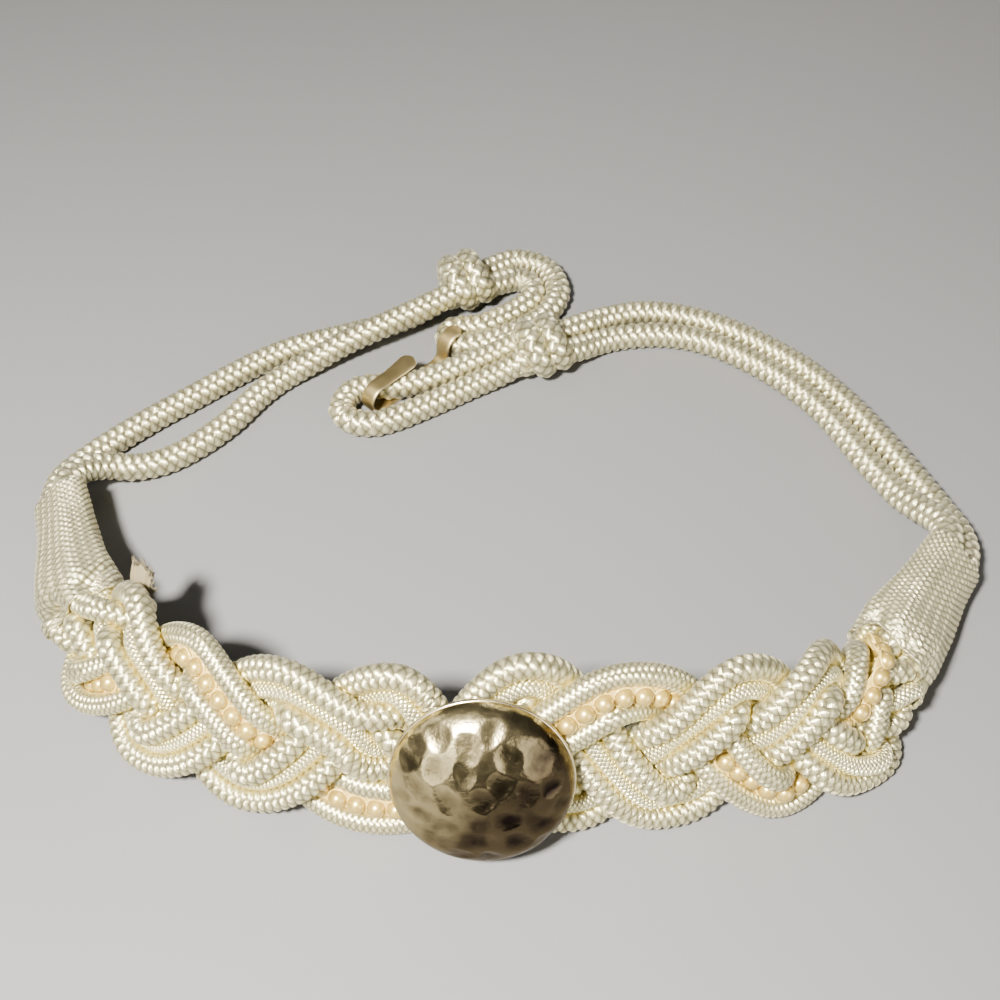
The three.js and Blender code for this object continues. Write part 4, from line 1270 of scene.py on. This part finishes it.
def make_knot(name, at, heading, material):
    """A knot: the cord wound round its own two legs."""
    axis, side, _ = spin(heading)
    share = np.linspace(0, 1, KNOT_POINTS)
    angle = 2 * np.pi * (KNOT_WINDS * share - KNOT_START)
    tuck = np.clip((np.abs(share - 0.5) - (0.5 - KNOT_TUCKED)) / KNOT_TUCKED, 0, 1) ** 2
    ring = KNOT_RING - KNOT_TUCK * tuck
    slide = KNOT_PITCH * KNOT_WINDS * (share - 0.5) + KNOT_SLANT * np.cos(angle + KNOT_LAG)
    radial = circle(angle, side, UP)
    line = smooth_line(np.array(at) + slide[:, None] * axis + ring[:, None] * radial, TIE_WEAVE.step)
    facing = rows_at(np.linspace(0, 1, len(line)), share, radial)
    winding = woven_cord(name + "_winding", line, facing, TIE_R, TIE_WEAVE, material)
    share = np.linspace(-1, 1, KNOT_CORE_RINGS)
    line = np.array(at) + KNOT_CORE_HALF * share[:, None] * axis
    radius = KNOT_CORE_R * np.sqrt(1 - (KNOT_CORE_CUT * share) ** 6)
    core = woven_cord(name + "_core", line, UP, radius[:, None],
                      TIE_WEAVE._replace(sides=KNOT_CORE_SIDES), material)
    return stand_for(join(name + "_wound", [winding, core]), name, "woven_cord")


def make_ties():
    """The four ties, the two knots, the two loops and the hook, each cord declared with its length."""
    woven = cloth_finish("woven_tie", WOVEN, TIE_WEAVE)
    knots = {name: make_knot(name, at, heading, woven) for name, (at, heading) in KNOTS.items()}
    hook = make_hook()
    routes = [
        ("left_outer_cord", tie_route(LEFT_EXIT, -1, LEFT_OUTER), [knots["left_knot"]]),
        ("left_inner_cord", tie_route(LEFT_EXIT, 1, LEFT_INNER), []),
        ("right_outer_cord", tie_route(RIGHT_EXIT, -1, RIGHT_OUTER), [knots["right_knot"]]),
        ("right_inner_cord", tie_route(RIGHT_EXIT, 1, RIGHT_INNER), []),
        ("left_loop", LEFT_LOOP, []),
        ("right_loop", RIGHT_LOOP, [hook]),
    ]
    for name, route, with_pieces in routes:
        line = smooth_line(route, TIE_WEAVE.step)
        piece = woven_cord(name + "_woven", line, UP, TIE_R + TIE_SWELL, TIE_WEAVE, woven)
        line = line[::PATH_EVERY]
        path = in_row_frame(line)
        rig.cord(piece, exit=path[0], length=float(way_along(line)[-1]) * MM, diameter=2 * TIE_R * MM,
                far_end="knot", stiffness="limp", lay="loose", path=path, with_pieces=with_pieces)
        stand_for(piece, name, "woven_cord")


def hook_line():
    """The middle line of the hook's strip, seen from its side: distance along it and height."""
    reach = HOOK_BEND + HOOK_STRIP / 2
    bend = HOOK_BEND + HOOK_STRIP
    line = [(bend + HOOK_LIP * share, bend + reach + rise)
            for share, rise in ((1, HOOK_LIP_RISE), (0.6, 0.25), (0.3, 0))]
    for angle in np.linspace(math.pi / 2, 1.5 * math.pi, 11):
        line.append((bend + reach * math.cos(angle), bend + reach * math.sin(angle)))
    arm = HOOK_CURL_AT - HOOK_CURL
    for angle in np.linspace(0, math.pi / 2, 6):
        line.append((arm - HOOK_CORNER + HOOK_CORNER * math.sin(angle),
                     HOOK_STRIP / 2 + HOOK_CORNER - HOOK_CORNER * math.cos(angle)))
    for angle in np.linspace(math.pi, math.pi / 2 - math.radians(HOOK_CURL_PAST), 11)[1:]:
        line.append((HOOK_CURL_AT + HOOK_CURL * math.cos(angle),
                     HOOK_CURL_HIGH + HOOK_CURL * math.sin(angle)))
    return smooth_line([(across, 0, high) for across, high in line], 0.5)


def make_hook():
    """The flat hook: a strip with rounded edges, a wider round lip and a curl."""
    line = hook_line()
    across = np.array([0.0, 1.0, 0.0])
    normal = np.cross(unit(np.gradient(line, axis=0)), across)
    way = way_along(line)
    wide = HOOK_WIDE + (HOOK_TIP_WIDE - HOOK_WIDE) * np.clip(1 - way / HOOK_TIP_LONG, 0, 1)
    for end in (way, way[-1] - way):
        rounding = np.clip(1 - end / HOOK_TIP_ROUND, 0, 1)
        wide = wide * np.sqrt(np.clip(1 - rounding ** 2 * HOOK_TIP_CUT, 0, 1))
    corner = full_turn(HOOK_SIDES) + np.pi / HOOK_SIDES
    flat_x = blunt(np.cos(corner), HOOK_ROUNDING[0])
    flat_y = blunt(np.sin(corner), HOOK_ROUNDING[1])
    rings = line[:, None] + (wide[:, None] / 2 * flat_x)[..., None] * across \
        + (HOOK_STRIP / 2 * flat_y)[None, :, None] * normal[:, None]
    rings = rings @ spin(HOOK_TURN) + np.array([*HOOK_AT, HOOK_LIFT])
    edge = np.broadcast_to((np.abs(flat_x) > HOOK_EDGE_FROM) * HOOK_EDGE_WORN, rings.shape[:2])
    piece = skin("hook_strip", rings, hook_finish(), way, values={"edge": edge})
    return stand_for(piece, "closure_hook", "hook_metal")


def dome_frame():
    """The middle of the dome's back, with its own directions along, up and out."""
    _, along, up, out = band_frame(DOME_STATION)
    tip = math.radians(DOME_TIP)
    return (place(DOME_STATION, DOME_UP, DOME_OUT), along, up * math.cos(tip) - out * math.sin(tip),
            out * math.cos(tip) + up * math.sin(tip))


def dent_at(x, y):
    """How deep the hammer has left the dome at a place, from 0 to 1."""
    deep = np.zeros_like(x)
    for number, (across, up, size) in enumerate(DENTS):
        turn = DENT_TURN * number
        stretch = 1 + DENT_OVAL * math.sin(1.7 * number)
        beside, above = x - across * DOME_HALF, y - up * DOME_HALF
        along = beside * math.cos(turn) + above * math.sin(turn)
        aside = above * math.cos(turn) - beside * math.sin(turn)
        wobble = 1 + DENT_WOBBLE * np.sin(3 * np.arctan2(aside, along) + number)
        away = np.hypot(along * stretch, aside / stretch) / (size * wobble)
        depth = 1 - DENT_UNEVEN + DENT_UNEVEN * math.cos(2.9 * number)
        deep = np.maximum(deep, (1 - away ** 2) * depth)
    return deep


def dome_side(shares, sink, dented):
    """One side of the dome's shell, in rings at shares of its half size, and how deep its dents are."""
    middle, along, up, out = dome_frame()
    shares = shares[:, None]
    angle = full_turn(DOME_SEGMENTS)
    high = np.sqrt(np.clip(1 - shares ** 2, 0, 1))
    x = (DOME_HALF - sink) * shares * np.cos(angle)
    y = (DOME_HALF - sink) * shares * np.sin(angle)
    deep = dent_at(x, y) * dented
    lift = DOME_LIP + (DOME_HIGH - DOME_LIP - sink) * high
    lift = lift - DENT_DEEP * deep * (DENT_FLAT + (1 - DENT_FLAT) * high)
    flare = 1 - 0.5 * DENT_DEEP * deep * shares / DOME_HALF
    return middle + (x * flare)[..., None] * along + (y * flare)[..., None] * up + lift[..., None] * out, deep


def make_dome():
    """The hammered dome: a thin shell with dents and a rolled rim."""
    middle, along, up, out = dome_frame()
    shares = np.sin(np.linspace(DOME_TOP, np.pi / 2, DOME_RINGS))
    outer, deep = dome_side(shares, 0, 1)
    inner, _ = dome_side(shares[::4], DOME_WALL, 0)
    rings = np.concatenate([outer, outer[-1:] - DOME_LIP * out, inner[-1:] - DOME_LIP * out, inner[::-1]])
    dent = np.concatenate([deep, np.zeros((len(rings) - len(outer), DOME_SEGMENTS))])
    # foot masks the painted dark reflection, which grows towards the dome's lower right.
    downhill = (rings - middle) @ (DARK_REFLECTION_WAY[0] * along + DARK_REFLECTION_WAY[1] * up) / DOME_HALF
    foot = np.clip(downhill + DARK_REFLECTION_REACH, 0, 1)
    dome = skin("hammered_dome", rings[:, ::-1], dome_finish(),
                values={"dent": dent[:, ::-1], "foot": foot[:, ::-1]})
    stand_for(dome, "medallion", "hammered_metal")
    size = (DOME_HALF - RIM_INSET, RIM_R, RIM_R * RIM_TALL)
    rim = torus("dome_rim", middle + DOME_LIP * RIM_UP * out, along, up, size, (DOME_SEGMENTS, RIM_SIDES),
                rim_finish())
    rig.slot(rim, "hammered_metal")


def tape_strip():
    """Rings of the bent strip of tape, from its foot to its ragged end."""
    up = np.linspace(0, 1, TAPE_ROWS)[:, None]
    around = full_turn(TAPE_SIDES)
    x = blunt(np.cos(around), TAPE_SQUARE) * TAPE_WIDE / 2
    y = blunt(np.sin(around), TAPE_SQUARE) * TAPE_THICK / 2
    ragged = sum(size * np.sin(waves * x + shift) for size, waves, shift in RAGGED) - TAPE_DROOP * x ** 2
    bend = TAPE_BEND * up ** 2 + WARP * np.sin(WARP_WAVES * x) * up + CREASE * np.sin(CREASE_WAVES * x)
    grow = TAPE_GROWTH[0] + TAPE_GROWTH[1] * up
    return np.stack([x * grow, y + bend, up * (TAPE_TALL + ragged * up ** 3)], -1)


def fibre(number):
    """The route of one loose thread at the tape's end."""
    share = number / (FIBRES - 1)
    across = TAPE_WIDE * min(FIBRE_EDGE, FIBRE_SPREAD * share - FIBRE_EDGE)
    height = TAPE_TALL * min(1.0, FIBRE_DOWN_FROM - FIBRE_DOWN * share) - TAPE_DROOP * across ** 2
    height = height - FIBRE_UNEVEN * (1 + math.sin(5.1 * number))
    root = np.array([across, TAPE_BEND * (height / TAPE_TALL) ** 2, height - FIBRE_ROOT])
    lean = FIBRE_LEAN + LEAN_CHANGE * math.sin(2.3 * number) + FIBRE_FAN * max(0, share - LEAN_FROM)
    out = FIBRE_OUT + OUT_CHANGE * math.cos(3.7 * number)
    rise = FIBRE_RISE + RISE_CHANGE * math.sin(7.9 * number) - FIBRE_FAN * max(0, share - DROP_FROM)
    tip = np.array([lean, out, rise])
    curl = FIBRE_CURL * np.array([rise, 0, -lean])
    return np.array([root + tip * reach + curl * bend for reach, bend in FIBRE_BENDS])


def make_tape():
    """The frayed end of tape: a bent strip of cloth with loose threads."""
    cloth = tape_finish()
    turn = spin(TAPE_TURN)
    rings = tape_strip() @ turn + np.array(TAPE_AT)
    pieces = [skin("tape_strip", rings, cloth, np.linspace(0, TAPE_TALL, TAPE_ROWS))]
    for number in range(FIBRES):
        line = smooth_line(fibre(number) @ turn + np.array(TAPE_AT), FIBRE_STEP)
        rings = sweep(line, np.array(FIBRE_FACING), FIBRE_SIDES, np.full((len(line), 1), FIBRE_R))
        pieces.append(skin("fibre", rings, cloth))
    stand_for(join("frayed_tape", pieces), "frayed_tape_end", "tape")


def make_floor():
    """The plain surface that the belt lies on."""
    mesh = bpy.data.meshes.new("floor")
    half = FLOOR_HALF
    corners = [(-half, -half, 0), (half, -half, 0), (half, half, 0), (-half, half, 0)]
    mesh.from_pydata(corners, [], [(0, 1, 2, 3)])
    mesh.materials.append(floor_finish())
    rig.stage(add_object("floor", mesh))


def make_lights():
    """Soft round lights about the belt."""
    for name, (at, aim, size, power) in LIGHTS.items():
        data = bpy.data.lights.new(name, "AREA")
        data.shape = "DISK"
        data.size = size
        data.energy = power
        data.color = LIGHT_COLOUR
        light = add_object(name, data)
        light.location = at
        light.rotation_euler = (Vector(aim) - Vector(at)).to_track_quat("-Z", "Y").to_euler()
        light.visible_camera = False


def make_world():
    """A dim room that is dark and uneven towards the front."""
    world = bpy.data.worlds.new("studio")
    bpy.context.scene.world = world
    room = Tree(world)
    way = room.node("SeparateXYZ", {0: room.node("TexCoord")["Generated"]})
    noise = room.noise(PATCH_WAVES, PATCH_DETAIL, space="Generated")
    ahead = room.blend(room.between(noise, source=PATCH_RANGE), WORLD_FRONT, WORLD_PATCH)
    ahead = room.blend(room.between(way["Z"], source=HIGH_RANGE), WORLD_LOW, ahead)
    colour = room.blend(room.between(way["Y"], source=FRONT_RANGE), WORLD_TOP, ahead)
    room.feed(room.tree.nodes["Background"].inputs["Color"], colour)


make_camera()
make_ties()
braid_lines, braid_radii = make_braid()
make_sleeves(braid_lines, braid_radii)
make_dome()
make_tape()
make_floor()
make_lights()
make_world()

with open(SIZE_FILE, "w") as file:
    boxes = {"cad": [list(corner) for corner in cad_box], "visual": [list(corner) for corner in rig.bounds()]}
    json.dump(boxes, file)
